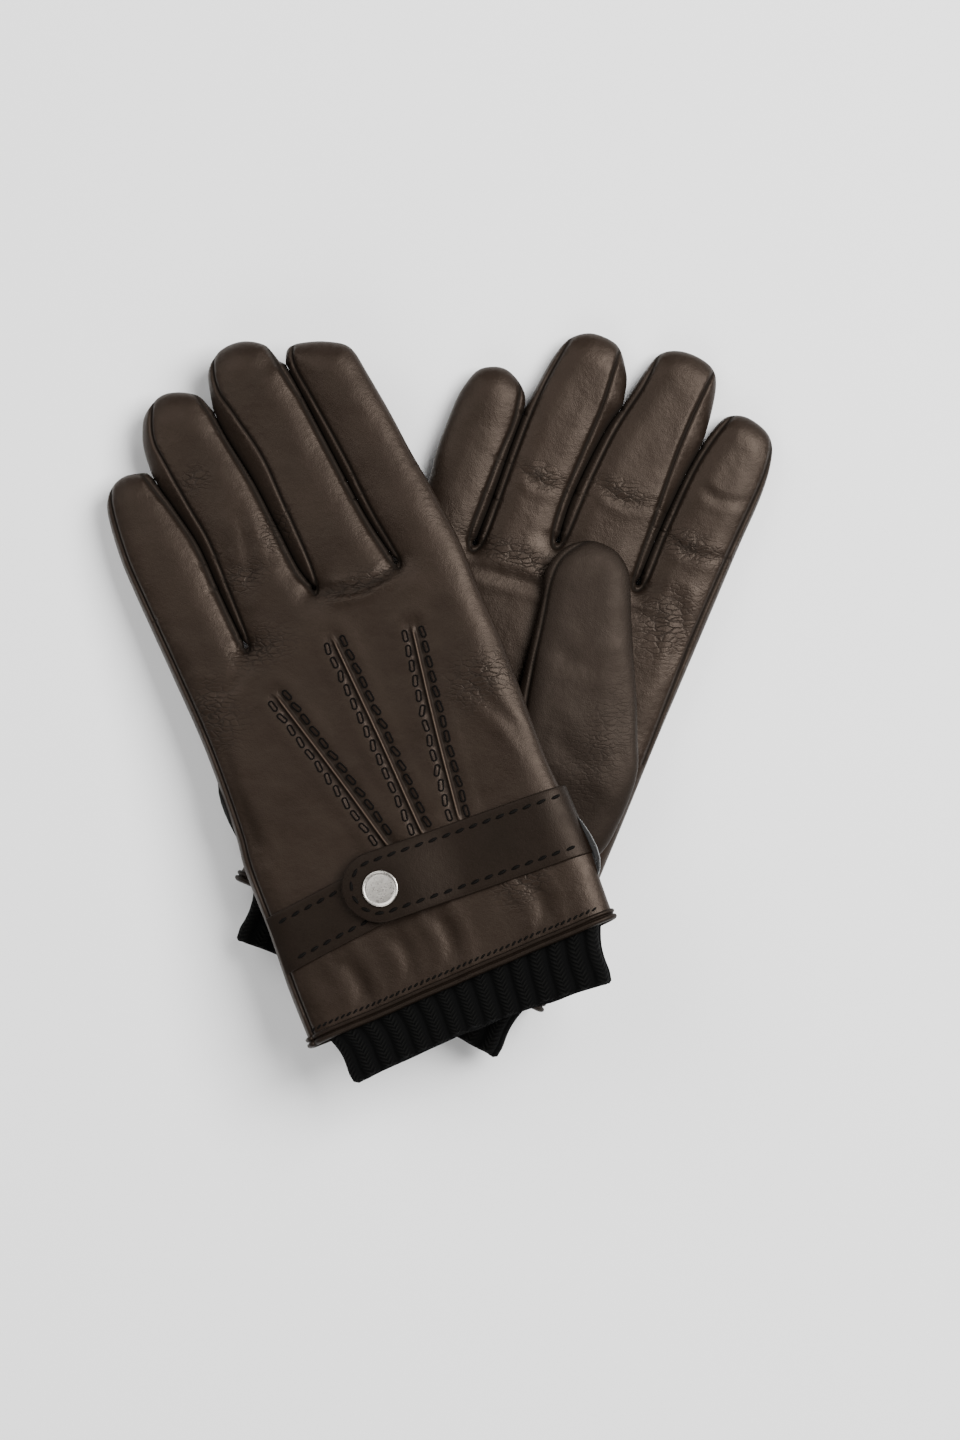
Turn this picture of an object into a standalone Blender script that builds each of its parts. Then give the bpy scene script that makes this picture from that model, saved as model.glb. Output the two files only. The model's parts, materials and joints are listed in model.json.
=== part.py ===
"""A pair of lined leather gloves with a snap strap at the wrist, the left one laid across the right one.

Both gloves come from one pattern, drawn in a glove's own frame: X across the hand towards the thumb,
Y from the hem towards the fingertips, Z out of the back of the hand. The left glove lies back up and
the right glove lies palm up, so the right one is the pattern turned over, which mirrors it.
"""

import math

import bmesh
import bpy
from mathutils import Matrix, Vector
from mathutils.bvhtree import BVHTree

MM = 0.001

# Thicknesses and clearances
LEATHER = 1.0 * MM
LINING = 0.8 * MM
KNIT = 1.3 * MM
SEAM_GAP = 0.3 * MM
SLOT_GAP = 0.8 * MM
BEND_GAP = 0.6 * MM

# Cross-section of the hand and the fingers
HALF_DEPTH = 5.6 * MM
FORK_HALF_HEIGHT = 2.6 * MM
OUTER_ROLL = 9.0 * MM
FORK_ROLL = 6.0 * MM

# Plan of the pattern: each finger from its neighbour's fork to its own, little finger first
FINGERS = ("little", "ring", "middle", "index")
FINGER_WIDTH = {"little": 23.5 * MM, "ring": 28.4 * MM, "middle": 30.4 * MM, "index": 25.2 * MM}
KNUCKLES_LEFT = -54.0 * MM
TIP_ROUNDING = 0.9
BEND_SHARE = 0.42

# The hand's two sides as (distance from the hem, distance outside the outer finger's side)
LITTLE_SIDE = ((0.0, 2.0 * MM), (28 * MM, 1.4 * MM), (80 * MM, -0.8 * MM), (112 * MM, -1.8 * MM))
INDEX_SIDE = ((0.0, 2.4 * MM), (24 * MM, 3.0 * MM), (55 * MM, 2.0 * MM), (100 * MM, 2.6 * MM))

# Lining, ribbed cuff and hem
CUFF_TOP = 12.0 * MM
CUFF_REACH = 21.0 * MM
CUFF_NARROWING = 6.0 * MM
CUFF_END_NARROWING = 9.5 * MM
LINING_TO_FORK = 8.0 * MM
BINDING_UP = 2.6 * MM
BINDING_DOWN = 1.4 * MM
BINDING = 1.1 * MM

# Thumb, folded over the palm: its outline, tip first, then down the index side and back up
THUMB_OUTLINE = (
    (0.0, 150.0), (7.0, 156.0), (16.0, 157.0), (23.0, 153.0), (32.0, 138.0), (44.5, 113.0),
    (55.0, 88.0), (55.5, 70.0), (52.0, 54.0), (40.0, 47.0), (26.0, 52.0), (14.0, 68.0),
    (7.0, 88.0), (3.5, 112.0), (0.5, 130.0), (-2.0, 141.0),
)
THUMB_DEPTH = 7.8 * MM
THUMB_ROLL = 5.0 * MM
THUMB_HOLE_CENTRE = (38.0 * MM, 76.0 * MM)
THUMB_HOLE = (10.0 * MM, 15.0 * MM)
THUMB_HOLE_TURN = math.radians(20)
THUMB_PIVOT = (46.0 * MM, 64.0 * MM)

# Snap: cap, socket, stud and post, one above the other on the snap's axis
SNAP_CENTRE = (-11.1 * MM, 38.8 * MM)
CAP_RADIUS = 6.25 * MM
CAP_HEIGHT = 1.0 * MM
CAP_RIM = 0.6 * MM
SNAP_RADIUS = 4.5 * MM
NIPPLE_RADIUS = 1.9 * MM
NIPPLE_HEIGHT = 0.75 * MM
SNAP_PLATE = 0.3 * MM
RIVET_RADIUS = 0.8 * MM
SNAP_GAP = 0.25 * MM
SNAP_SEGMENTS = 24

# Straps: the snap strap from the index side and the short one under it from the little finger's side
STRAP = 1.0 * MM
STRAP_WIDTH = 24.8 * MM
STRAP_DROP = 4.0 * MM
UNDER_STRAP = 0.8 * MM
UNDER_STRAP_WIDTH = 20.6 * MM
UNDER_STRAP_DROP = 3.2 * MM
UNDER_STRAP_PAST_SNAP = 10.0 * MM

# How the two gloves lie
LAYS = {
    "left": {
        "mirror": False,
        "hem_centre": (12.0 * MM, -6.0 * MM),
        "yaw": math.radians(22.5),
        "lean": math.radians(5.5),
        "lean_from": 180.0 * MM,
        "forks": (134.5 * MM, 144.0 * MM, 141.5 * MM),
        "tips": (208.0 * MM, 229.0 * MM, 235.5 * MM, 226.0 * MM),
    },
    "right": {
        "mirror": True,
        "hem_centre": (-12.0 * MM, 6.0 * MM),
        "yaw": math.radians(-23.5),
        "lean": 0.0,
        "lean_from": 180.0 * MM,
        "forks": (138.5 * MM, 150.5 * MM, 148.5 * MM),
        "tips": (200.5 * MM, 224.0 * MM, 230.5 * MM, 218.0 * MM),
    },
}
LEFT_ROLL = math.radians(-8)
LEFT_PITCH = math.radians(-7.2)
RIGHT_PITCH = math.radians(-1.8)
REST_GAP = 0.6 * MM
REST_GRID = 1.5 * MM

# Heights that follow from the values above
FORK_LEVEL = FORK_HALF_HEIGHT + SEAM_GAP
OUTER_LEVEL = SEAM_GAP / 2
POST_BASE = HALF_DEPTH + SNAP_GAP
UNDER_STRAP_BASE = POST_BASE + SNAP_PLATE + SNAP_GAP
STUD_BASE = UNDER_STRAP_BASE + UNDER_STRAP + SNAP_GAP
NIPPLE_TOP = STUD_BASE + SNAP_PLATE + NIPPLE_HEIGHT
SOCKET_BASE = STUD_BASE + SNAP_PLATE + SNAP_GAP
SOCKET_TOP = NIPPLE_TOP + SNAP_GAP + SNAP_PLATE
STRAP_BASE = SOCKET_TOP + SNAP_GAP
CAP_BASE = STRAP_BASE + STRAP + SNAP_GAP
RIVET_HOLE = RIVET_RADIUS + SEAM_GAP
THUMB_MIDDLE = HALF_DEPTH + SEAM_GAP + THUMB_DEPTH / 2

COLOURS = {
    "leather": ((0.040, 0.031, 0.025), 0.42, 0.0),
    "lining": ((0.012, 0.012, 0.011), 0.95, 0.0),
    "knit": ((0.006, 0.006, 0.005), 0.95, 0.0),
    "nickel": ((0.60, 0.57, 0.52), 0.32, 1.0),
}


# ---------------------------------------------------------------- plan of the pattern


def finger_sides():
    """Each finger's two sides, as distances across the knuckles."""
    sides, x = {}, KNUCKLES_LEFT
    for finger in FINGERS:
        sides[finger] = (x, x + FINGER_WIDTH[finger])
        x += FINGER_WIDTH[finger] + SLOT_GAP
    return sides


def finger_point(lay, across, along):
    """A point of the plan on the fingers, which all lean the same way."""
    slide = along - lay["lean_from"]
    return Vector((across * 1.0 - slide * math.tan(lay["lean"]), along))


def bend_height(lay, finger):
    """Distance from the hem at which this finger bends."""
    at = FINGERS.index(finger)
    beside = lay["forks"][max(at - 1, 0) : at + 1]
    root = sum(beside) / len(beside)
    return root + BEND_SHARE * (lay["tips"][at] - root)


def bend_point(lay, finger, side, gap):
    """A point on the line across a finger where it bends, moved by gap towards the tip."""
    across = finger_sides()[finger][side]
    middle = sum(finger_sides()[finger]) / 2
    lean = lay["lean"]
    centre = finger_point(lay, middle, bend_height(lay, finger))
    half = (across - middle) * math.cos(lean)
    along = Vector((-math.sin(lean), math.cos(lean)))
    return centre + half * Vector((math.cos(lean), math.sin(lean))) + gap * along


def rim_point(place, level, before, after=None):
    """A corner of a panel's rim: its place, the height of its edge, and its roll before and after the corner."""
    return {"place": Vector(place), "level": level, "rolls": (before, before if after is None else after)}


def hand_rim(lay):
    """The rim of the back or the palm, anticlockwise from the hem, with a stub for each finger."""
    sides = finger_sides()
    left, right = sides["little"][0], sides["index"][1]
    rim = [rim_point((left - LITTLE_SIDE[0][1], 0), OUTER_LEVEL, OUTER_ROLL, 0)]
    rim.append(rim_point((right + INDEX_SIDE[0][1], 0), OUTER_LEVEL, 0, OUTER_ROLL))
    for along, out in INDEX_SIDE[1:]:
        rim.append(rim_point((right + out, along), OUTER_LEVEL, OUTER_ROLL))
    for at in (3, 2, 1, 0):
        finger = FINGERS[at]
        outer = at == 3
        level, roll = (OUTER_LEVEL, OUTER_ROLL) if outer else (FORK_LEVEL, FORK_ROLL)
        rim.append(rim_point(bend_point(lay, finger, 1, -BEND_GAP / 2), level, roll, 0))
        outer = at == 0
        level, roll = (OUTER_LEVEL, OUTER_ROLL) if outer else (FORK_LEVEL, FORK_ROLL)
        rim.append(rim_point(bend_point(lay, finger, 0, -BEND_GAP / 2), level, 0, roll))
        if at:
            rim += fork_arc(lay, at)
    for along, out in reversed(LITTLE_SIDE[1:]):
        rim.append(rim_point((left - out, along), OUTER_LEVEL, OUTER_ROLL))
    return rim


def fork_arc(lay, at):
    """The round bottom of the slot on the little finger's side of finger number at."""
    across = finger_sides()[FINGERS[at]][0] - SLOT_GAP / 2
    bottom = finger_point(lay, across, lay["forks"][at - 1])
    steps = 4
    turned = [math.pi * step / steps for step in range(steps + 1)]
    spread = SLOT_GAP / 2
    return [
        rim_point(bottom + Vector((spread * math.cos(a), -spread * math.sin(a))), FORK_LEVEL, FORK_ROLL)
        for a in turned
    ]


def tip_rim(lay, finger):
    """The rim of a fingertip's back or palm, anticlockwise from its bend."""
    at = FINGERS.index(finger)
    lean = lay["lean"]
    left, right = (bend_point(lay, finger, side, BEND_GAP / 2) for side in (0, 1))
    middle = (left + right) / 2
    along = Vector((-math.sin(lean), math.cos(lean)))
    half = (right - left) / 2
    reach = (lay["tips"][at] - middle.y) / math.cos(lean)
    cap = min(half.length * TIP_ROUNDING, reach * 0.8)
    levels = [OUTER_LEVEL if at == 0 else FORK_LEVEL, OUTER_LEVEL if at == 3 else FORK_LEVEL]
    rolls = [FORK_ROLL, FORK_ROLL]
    rim = [rim_point(left, levels[0], rolls[0], 0), rim_point(right, levels[1], 0, rolls[1])]
    steps = 10
    for step in range(steps + 1):
        turn = math.pi * step / steps
        side = levels[1] if turn < math.pi / 2 else levels[0]
        level = max(side * abs(math.cos(turn)), OUTER_LEVEL)
        squared = math.copysign(abs(math.cos(turn)) ** 0.85, math.cos(turn))
        place = middle + half * squared + along * (reach - cap + cap * math.sin(turn) ** 0.85)
        rim.append(rim_point(place, level, FORK_ROLL))
    return rim


def thumb_rim():
    """The rim of the thumb's two halves."""
    outline = [Vector((x * MM, y * MM)) for x, y in reversed(THUMB_OUTLINE)]
    return [rim_point(place, OUTER_LEVEL, THUMB_ROLL) for place in outline]


# ---------------------------------------------------------------- solids


def inward(places, insets):
    """The corners of a closed anticlockwise outline moved inwards, by each corner's inset before and after it."""
    moved = []
    for i, place in enumerate(places):
        before = (place - places[i - 1]).normalized()
        after = (places[(i + 1) % len(places)] - place).normalized()
        n0, n1 = Vector((-before.y, before.x)), Vector((-after.y, after.x))
        a, b = insets[i]
        turn = before.dot(n1)
        if abs(a - b) < 1e-9 or abs(turn) < 0.05:
            moved.append(place + (n0 + n1) * (a + b) / 2 / (1 + n0.dot(n1)))
        else:
            moved.append(place + n0 * a + before * (b - a * n0.dot(n1)) / turn)
    return moved


def loop(bm, places, heights):
    return [bm.verts.new((p.x, p.y, h)) for p, h in zip(places, heights)]


def bridge(bm, one, two, closed=True):
    count = len(one)
    for i in range(count if closed else count - 1):
        j = (i + 1) % count
        bm.faces.new((one[i], one[j], two[j], two[i]))


def panel(rim, crown, thickness):
    """A leather panel: a flat crown whose margin rolls down to the rim, as one closed solid on the +Z side."""
    places = [r["place"] for r in rim]
    levels = [r["level"] for r in rim]
    rolls = [r["rolls"] for r in rim]
    walls, inner = [], []
    for level, pair in zip(levels, rolls):
        rise = crown - level
        wall = [thickness * math.hypot(rise, roll) / rise if roll else 0.0 for roll in pair]
        walls.append(wall)
        inner.append([roll * (rise - thickness) / rise + w if roll else 0.0 for roll, w in zip(pair, wall)])
    bm = bmesh.new()
    edge = loop(bm, places, levels)
    top = loop(bm, inward(places, rolls), [crown] * len(rim))
    under = loop(bm, inward(places, inner), [crown - thickness] * len(rim))
    foot = loop(bm, inward(places, walls), levels)
    for i in range(len(rim)):
        j = (i + 1) % len(rim)
        if rolls[i][1] == 0 and rolls[j][0] == 0:
            bm.faces.new((edge[i], foot[i], under[i], top[i]))
            bm.faces.new((edge[j], top[j], under[j], foot[j]))
            bm.faces.new((top[i], under[i], under[j], top[j]))
        else:
            for one, two in ((edge, top), (under, foot), (foot, edge)):
                bm.faces.new((one[i], one[j], two[j], two[i]))
    bm.faces.new(top)
    bm.faces.new(list(reversed(under)))
    bmesh.ops.remove_doubles(bm, verts=bm.verts, dist=1e-6)
    bmesh.ops.triangulate(bm, faces=bm.faces)
    bmesh.ops.recalc_face_normals(bm, faces=bm.faces)
    return bm


def fourchette(rim, first, last, thickness):
    """The side wall of a finger: a strip that stands on its edge along the rim, from corner first to corner last."""
    places = [r["place"] for r in rim]
    depths = [[thickness if roll else 0.0 for roll in r["rolls"]] for r in rim]
    inner = inward(places, depths)
    bm = bmesh.new()
    rings = []
    for i in range(first, last + 1):
        height = rim[i]["level"] - SEAM_GAP
        corners = ((places[i], -height), (inner[i], -height), (inner[i], height), (places[i], height))
        rings.append([bm.verts.new((p.x, p.y, h)) for p, h in corners])
    for one, two in zip(rings, rings[1:]):
        bridge(bm, one, two)
    bm.faces.new(rings[0])
    bm.faces.new(list(reversed(rings[-1])))
    bmesh.ops.triangulate(bm, faces=bm.faces)
    bmesh.ops.recalc_face_normals(bm, faces=bm.faces)
    return bm


def sleeve(stations, thickness):
    """A flattened tube. Each station is (distance from the hem, left side, right side, half depth, roll)."""
    bm = bmesh.new()
    outer, inner = [], []
    for along, left, right, depth, roll in stations:
        ring = [
            Vector(p)
            for p in (
                (left + roll, -depth), (right - roll, -depth), (right, 0),
                (right - roll, depth), (left + roll, depth), (left, 0),
            )
        ]
        inset = inward(ring, [(thickness, thickness)] * len(ring))
        outer.append([bm.verts.new((p.x, along, p.y)) for p in ring])
        inner.append([bm.verts.new((p.x, along, p.y)) for p in inset])
    for shell in (outer, inner):
        for one, two in zip(shell, shell[1:]):
            bridge(bm, one, two)
    bridge(bm, outer[0], inner[0])
    bridge(bm, outer[-1], inner[-1])
    bmesh.ops.triangulate(bm, faces=bm.faces)
    bmesh.ops.recalc_face_normals(bm, faces=bm.faces)
    return bm


def turned(profile, centre):
    """A solid turned about the snap's axis from a closed profile of (radius, height)."""
    bm = bmesh.new()
    verts = [bm.verts.new((r, 0, h)) for r, h in profile]
    count = len(verts) if profile[0][0] else len(verts) - 1
    edges = [bm.edges.new((verts[i], verts[(i + 1) % len(verts)])) for i in range(count)]
    bmesh.ops.spin(
        bm, geom=verts + edges, cent=(0, 0, 0), axis=(0, 0, 1), angle=2 * math.pi,
        steps=SNAP_SEGMENTS, use_merge=True,
    )
    bmesh.ops.remove_doubles(bm, verts=bm.verts, dist=1e-6)
    bmesh.ops.translate(bm, verts=bm.verts, vec=(*centre, 0))
    bmesh.ops.recalc_face_normals(bm, faces=bm.faces)
    return bm


def slab(places, base, thickness):
    """A flat strap: an outline with a thickness."""
    bm = bmesh.new()
    face = bm.faces.new([bm.verts.new((p.x, p.y, base)) for p in places])
    raised = bmesh.ops.extrude_face_region(bm, geom=[face])["geom"]
    top = [v for v in raised if isinstance(v, bmesh.types.BMVert)]
    bmesh.ops.translate(bm, verts=top, vec=(0, 0, thickness))
    bmesh.ops.recalc_face_normals(bm, faces=bm.faces)
    return bm


def fold_down(bm, bend, towards, slope):
    """Folds what lies past X = bend, on the side given by towards, down at a slope."""
    geom = bm.verts[:] + bm.edges[:] + bm.faces[:]
    bmesh.ops.bisect_plane(bm, geom=geom, dist=1e-7, plane_co=(bend, 0, 0), plane_no=(1, 0, 0))
    for v in bm.verts:
        past = (v.co.x - bend) * towards
        if past > 0:
            v.co.z -= past * slope


def ellipse_cutter(centre, radii, turn, low, high):
    bm = bmesh.new()
    spread = Matrix.Diagonal((*radii, high - low, 1))
    place = Matrix.Translation((*centre, (low + high) / 2)) @ Matrix.Rotation(turn, 4, "Z") @ spread
    bmesh.ops.create_cone(
        bm, cap_ends=True, segments=SNAP_SEGMENTS, radius1=1, radius2=1, depth=1, matrix=place
    )
    return bm


# ---------------------------------------------------------------- objects


def make_materials():
    made = {}
    for name, (colour, roughness, metallic) in COLOURS.items():
        material = bpy.data.materials.new(name)
        material.use_nodes = True
        shader = material.node_tree.nodes["Principled BSDF"]
        shader.inputs["Base Color"].default_value = (*colour, 1)
        shader.inputs["Roughness"].default_value = roughness
        shader.inputs["Metallic"].default_value = metallic
        material.diffuse_color = (*colour, 1)
        made[name] = material
    return made


class Glove:
    """One glove: its lay, its empties and the pieces that hang from them."""

    def __init__(self, hand, materials, root):
        self.hand = hand
        self.lay = LAYS[hand]
        self.materials = materials
        self.root = self.empty("lie", root, Vector((0, 0, 0)))
        self.pieces = []

    def own(self, place):
        """A place of the pattern in the glove's empty, which never mirrors."""
        place = Vector(place)
        return Vector((place.x, place.y, -place.z)) if self.lay["mirror"] else place

    def empty(self, name, parent, place):
        made = bpy.data.objects.new(f"{self.hand}_{name}", None)
        bpy.context.scene.collection.objects.link(made)
        made.parent = parent
        made.location = place
        made.empty_display_size = 0.01
        return made

    def joint(self, name, place):
        return self.empty(name, self.root, self.own(place))

    def add(self, name, bm, material, parent=None, cutter=False):
        if self.lay["mirror"]:
            bmesh.ops.scale(bm, vec=(1, 1, -1), verts=bm.verts)
            bmesh.ops.reverse_faces(bm, faces=bm.faces)
        parent = parent or self.root
        if parent is not self.root:
            bmesh.ops.translate(bm, verts=bm.verts, vec=-parent.location)
        mesh = bpy.data.meshes.new(f"{self.hand}_{name}")
        bm.to_mesh(mesh)
        bm.free()
        mesh.materials.append(self.materials[material])
        made = bpy.data.objects.new(mesh.name, mesh)
        bpy.context.scene.collection.objects.link(made)
        made.parent = parent
        if cutter:
            made.hide_render = True
            made.display_type = "WIRE"
        else:
            self.pieces.append(made)
        return made

    def cut(self, piece, cutter):
        modifier = piece.modifiers.new("hole", "BOOLEAN")
        modifier.operation = "DIFFERENCE"
        modifier.solver = "EXACT"
        modifier.object = cutter


def under_side(bm):
    """Turns a panel that was made on the back's side over to the palm's side."""
    bmesh.ops.scale(bm, vec=(1, 1, -1), verts=bm.verts)
    bmesh.ops.reverse_faces(bm, faces=bm.faces)
    return bm


def add_hand(glove):
    """The hand: back, palm, the three forks between the fingers, lining, ribbed cuff and hem binding."""
    lay = glove.lay
    rim = hand_rim(lay)
    glove.add("back_panel", panel(rim, HALF_DEPTH, LEATHER), "leather")
    palm = glove.add("palm_panel", under_side(panel(rim, HALF_DEPTH, LEATHER)), "leather")
    arc = len(fork_arc(lay, 1))
    corner = 1 + len(INDEX_SIDE[1:]) + 2
    for at in (3, 2, 1):
        between = f"{FINGERS[at - 1]}_{FINGERS[at]}"
        strip = fourchette(rim, corner, corner + arc + 1, LEATHER)
        glove.add(f"fork_{between}", strip, "leather")
        corner += arc + 2
    lining = glove.add("lining", sleeve(lining_stations(lay), LINING), "lining")
    low = -THUMB_MIDDLE
    hole = ellipse_cutter(THUMB_HOLE_CENTRE, THUMB_HOLE, THUMB_HOLE_TURN, low, 0)
    hole = glove.add("thumb_hole_cutter", hole, "leather", cutter=True)
    glove.cut(palm, hole)
    glove.cut(lining, hole)
    glove.add("knit_cuff", sleeve(cuff_stations(lay), KNIT), "knit")
    glove.add("hem_binding", sleeve(binding_stations(lay), BINDING), "leather")
    return hole


def hand_sides(lay):
    """The hand's two sides as points from the hem to where the outer fingers bend."""
    sides = finger_sides()
    little = [Vector((sides["little"][0] - out, along)) for along, out in LITTLE_SIDE]
    index = [Vector((sides["index"][1] + out, along)) for along, out in INDEX_SIDE]
    return little + [bend_point(lay, "little", 0, 0)], index + [bend_point(lay, "index", 1, 0)]


def sides_at(lay, along):
    """How far across the hand its two sides are at a distance from the hem."""
    found = []
    for points in hand_sides(lay):
        before, after = next(pair for pair in zip(points, points[1:]) if along <= pair[1].y)
        found.append(before.lerp(after, (along - before.y) / (after.y - before.y)).x)
    return found


def side_wall(depth):
    """How far in from the silhouette a layer of this depth under the leather starts."""
    rise = HALF_DEPTH - OUTER_LEVEL
    return depth * math.hypot(rise, OUTER_ROLL) / rise


def lining_stations(lay):
    depth = LEATHER + SEAM_GAP
    stations = []
    top = min(lay["forks"]) - LINING_TO_FORK
    low = CUFF_TOP + SEAM_GAP
    between = {y for y, _ in (*LITTLE_SIDE, *INDEX_SIDE) if low < y < top}
    for along in sorted({low, top, *between}):
        left, right = sides_at(lay, along)
        inset = side_wall(depth)
        stations.append((along, left + inset, right - inset, HALF_DEPTH - depth, OUTER_ROLL - SEAM_GAP))
    return stations


def cuff_stations(lay):
    depth = HALF_DEPTH - LEATHER - SEAM_GAP
    left, right = sides_at(lay, 0)
    inner = CUFF_NARROWING
    outer = CUFF_END_NARROWING
    return [
        (CUFF_TOP, left + inner, right - inner, depth, OUTER_ROLL / 2),
        (-CUFF_REACH / 3, left + inner, right - inner, depth, OUTER_ROLL / 2),
        (-CUFF_REACH, left + outer, right - outer, depth, OUTER_ROLL / 2),
    ]


def binding_stations(lay):
    left, right = sides_at(lay, 0)
    out = BINDING + SEAM_GAP
    reach = side_wall(out)
    depth = HALF_DEPTH + out
    return [
        (along, left - reach, right + reach, depth, OUTER_ROLL)
        for along in (-BINDING_DOWN, BINDING_UP)
    ]


def add_thumb(glove, hole):
    """The thumb, two halves sewn along their rim, which swings on the palm about its root."""
    pivot = glove.joint("thumb_joint", (*THUMB_PIVOT, -THUMB_MIDDLE))
    half = THUMB_DEPTH / 2
    front = under_side(panel(thumb_rim(), half, LEATHER))
    back = panel(thumb_rim(), half, LEATHER)
    for bm in (front, back):
        bmesh.ops.translate(bm, verts=bm.verts, vec=(0, 0, -THUMB_MIDDLE))
    glove.add("thumb_front", front, "leather", pivot)
    glove.cut(glove.add("thumb_back", back, "leather", pivot), hole)


def add_fingertips(glove):
    """Each finger past its bend: back, palm and side walls, which turn together towards the palm."""
    lay = glove.lay
    for at, finger in enumerate(FINGERS):
        place = bend_point(lay, finger, 0, 0)
        place = (place + bend_point(lay, finger, 1, 0)) / 2
        pivot = glove.joint(f"{finger}_joint", (place.x, place.y, -HALF_DEPTH))
        rim = tip_rim(lay, finger)
        glove.add(f"{finger}_back", panel(rim, HALF_DEPTH, LEATHER), "leather", pivot)
        glove.add(f"{finger}_palm", under_side(panel(rim, HALF_DEPTH, LEATHER)), "leather", pivot)
        tall = [i for i in range(len(rim)) if rim[i]["level"] > 2 * SEAM_GAP]
        apex = 2 + (len(rim) - 2) // 2
        if at < 3:
            last = max(i for i in tall if i < apex)
            glove.add(f"{finger}_fourchette_inner", fourchette(rim, 1, last, LEATHER), "leather", pivot)
        if at > 0:
            first = min(i for i in tall if i > apex)
            side = fourchette(rim + rim[:1], first, len(rim), LEATHER)
            glove.add(f"{finger}_fourchette_outer", side, "leather", pivot)


def strap_outline(round_end, far_end, width, drop):
    """A strap from far_end to a round end about round_end, anticlockwise. It drops by drop along its length."""
    sign = 1 if far_end > round_end[0] else -1
    steps = 12
    half = width / 2
    places = []
    for step in range(steps + 1):
        turn = math.pi / 2 + math.pi * step / steps
        places.append(Vector((round_end[0] + sign * half * math.cos(turn), round_end[1] + half * math.sin(turn))))
    places.append(Vector((far_end, round_end[1] - drop - half)))
    places.append(Vector((far_end, round_end[1] - drop + half)))
    return places if sign > 0 else list(reversed(places))


def add_straps(glove):
    """The snap strap, which opens about the index side, and the short strap under it."""
    left, right = sides_at(glove.lay, SNAP_CENTRE[1])
    end = right + 2 * SEAM_GAP
    bend = right - OUTER_ROLL
    hinge = glove.joint("strap_joint", (end, SNAP_CENTRE[1] - STRAP_DROP, 0))
    bm = slab(strap_outline(SNAP_CENTRE, end, STRAP_WIDTH, STRAP_DROP), STRAP_BASE, STRAP)
    fold_down(bm, bend, 1, (STRAP_BASE - 2 * SEAM_GAP) / (end - bend))
    strap = glove.add("strap", bm, "leather", hinge)
    round_end = (SNAP_CENTRE[0] + UNDER_STRAP_PAST_SNAP - UNDER_STRAP_WIDTH / 2, SNAP_CENTRE[1])
    end = left - 2 * SEAM_GAP
    bend = left + OUTER_ROLL
    bm = slab(strap_outline(round_end, end, UNDER_STRAP_WIDTH, UNDER_STRAP_DROP), UNDER_STRAP_BASE, UNDER_STRAP)
    fold_down(bm, bend, -1, (UNDER_STRAP_BASE - 2 * SEAM_GAP) / (bend - end))
    under = glove.add("under_strap", bm, "leather")
    for name, piece, low in (("strap", strap, STRAP_BASE), ("under_strap", under, UNDER_STRAP_BASE)):
        hole = ellipse_cutter(SNAP_CENTRE, (RIVET_HOLE, RIVET_HOLE), 0, low - STRAP, low + 2 * STRAP)
        parent = piece.parent if piece.parent is not glove.root else None
        glove.cut(piece, glove.add(f"{name}_hole_cutter", hole, "leather", parent, cutter=True))
    return hinge


def add_snap(glove, hinge):
    """The snap: cap and socket on the strap, stud and post on the strap under it."""
    cap = [
        (0, STRAP_BASE), (RIVET_RADIUS, STRAP_BASE), (RIVET_RADIUS, CAP_BASE), (CAP_RADIUS - CAP_RIM / 3, CAP_BASE),
        (CAP_RADIUS, CAP_BASE + CAP_RIM / 3), (CAP_RADIUS, CAP_BASE + CAP_HEIGHT - CAP_RIM),
        (CAP_RADIUS - CAP_RIM, CAP_BASE + CAP_HEIGHT), (0, CAP_BASE + CAP_HEIGHT),
    ]
    bore = NIPPLE_RADIUS + SEAM_GAP
    socket = [
        (0, SOCKET_TOP - SNAP_PLATE), (bore, SOCKET_TOP - SNAP_PLATE), (bore, SOCKET_BASE),
        (SNAP_RADIUS, SOCKET_BASE), (SNAP_RADIUS, SOCKET_TOP), (0, SOCKET_TOP),
    ]
    bore = RIVET_RADIUS + SEAM_GAP
    stud = [
        (bore, STUD_BASE), (SNAP_RADIUS, STUD_BASE), (SNAP_RADIUS, STUD_BASE + SNAP_PLATE),
        (NIPPLE_RADIUS, STUD_BASE + SNAP_PLATE), (NIPPLE_RADIUS, NIPPLE_TOP), (bore, NIPPLE_TOP),
    ]
    post = [
        (0, POST_BASE), (SNAP_RADIUS, POST_BASE), (SNAP_RADIUS, POST_BASE + SNAP_PLATE),
        (RIVET_RADIUS, POST_BASE + SNAP_PLATE), (RIVET_RADIUS, NIPPLE_TOP - SNAP_GAP), (0, NIPPLE_TOP - SNAP_GAP),
    ]
    for name, profile, parent in (
        ("snap_cap", cap, hinge), ("snap_socket", socket, hinge), ("snap_stud", stud, None), ("snap_post", post, None)
    ):
        made = glove.add(name, turned(profile, SNAP_CENTRE), "nickel", parent)
        made.data.shade_smooth()
        made.data.set_sharp_from_angle(angle=math.radians(35))


def make_glove(hand, materials, root):
    glove = Glove(hand, materials, root)
    hole = add_hand(glove)
    add_thumb(glove, hole)
    add_fingertips(glove)
    add_snap(glove, add_straps(glove))
    return glove


# ---------------------------------------------------------------- how they lie


def points_and_faces(pieces):
    """The pieces as one triangle soup, for finding where one glove meets the other."""
    graph = bpy.context.evaluated_depsgraph_get()
    points, faces = [], []
    for piece in pieces:
        seen = piece.evaluated_get(graph)
        mesh = seen.to_mesh()
        start = len(points)
        points += [seen.matrix_world @ v.co for v in mesh.vertices]
        faces += [[start + i for i in p.vertices] for p in mesh.polygons]
        seen.to_mesh_clear()
    return points, faces


def lowest(points):
    return min(p.z for p in points)


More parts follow.
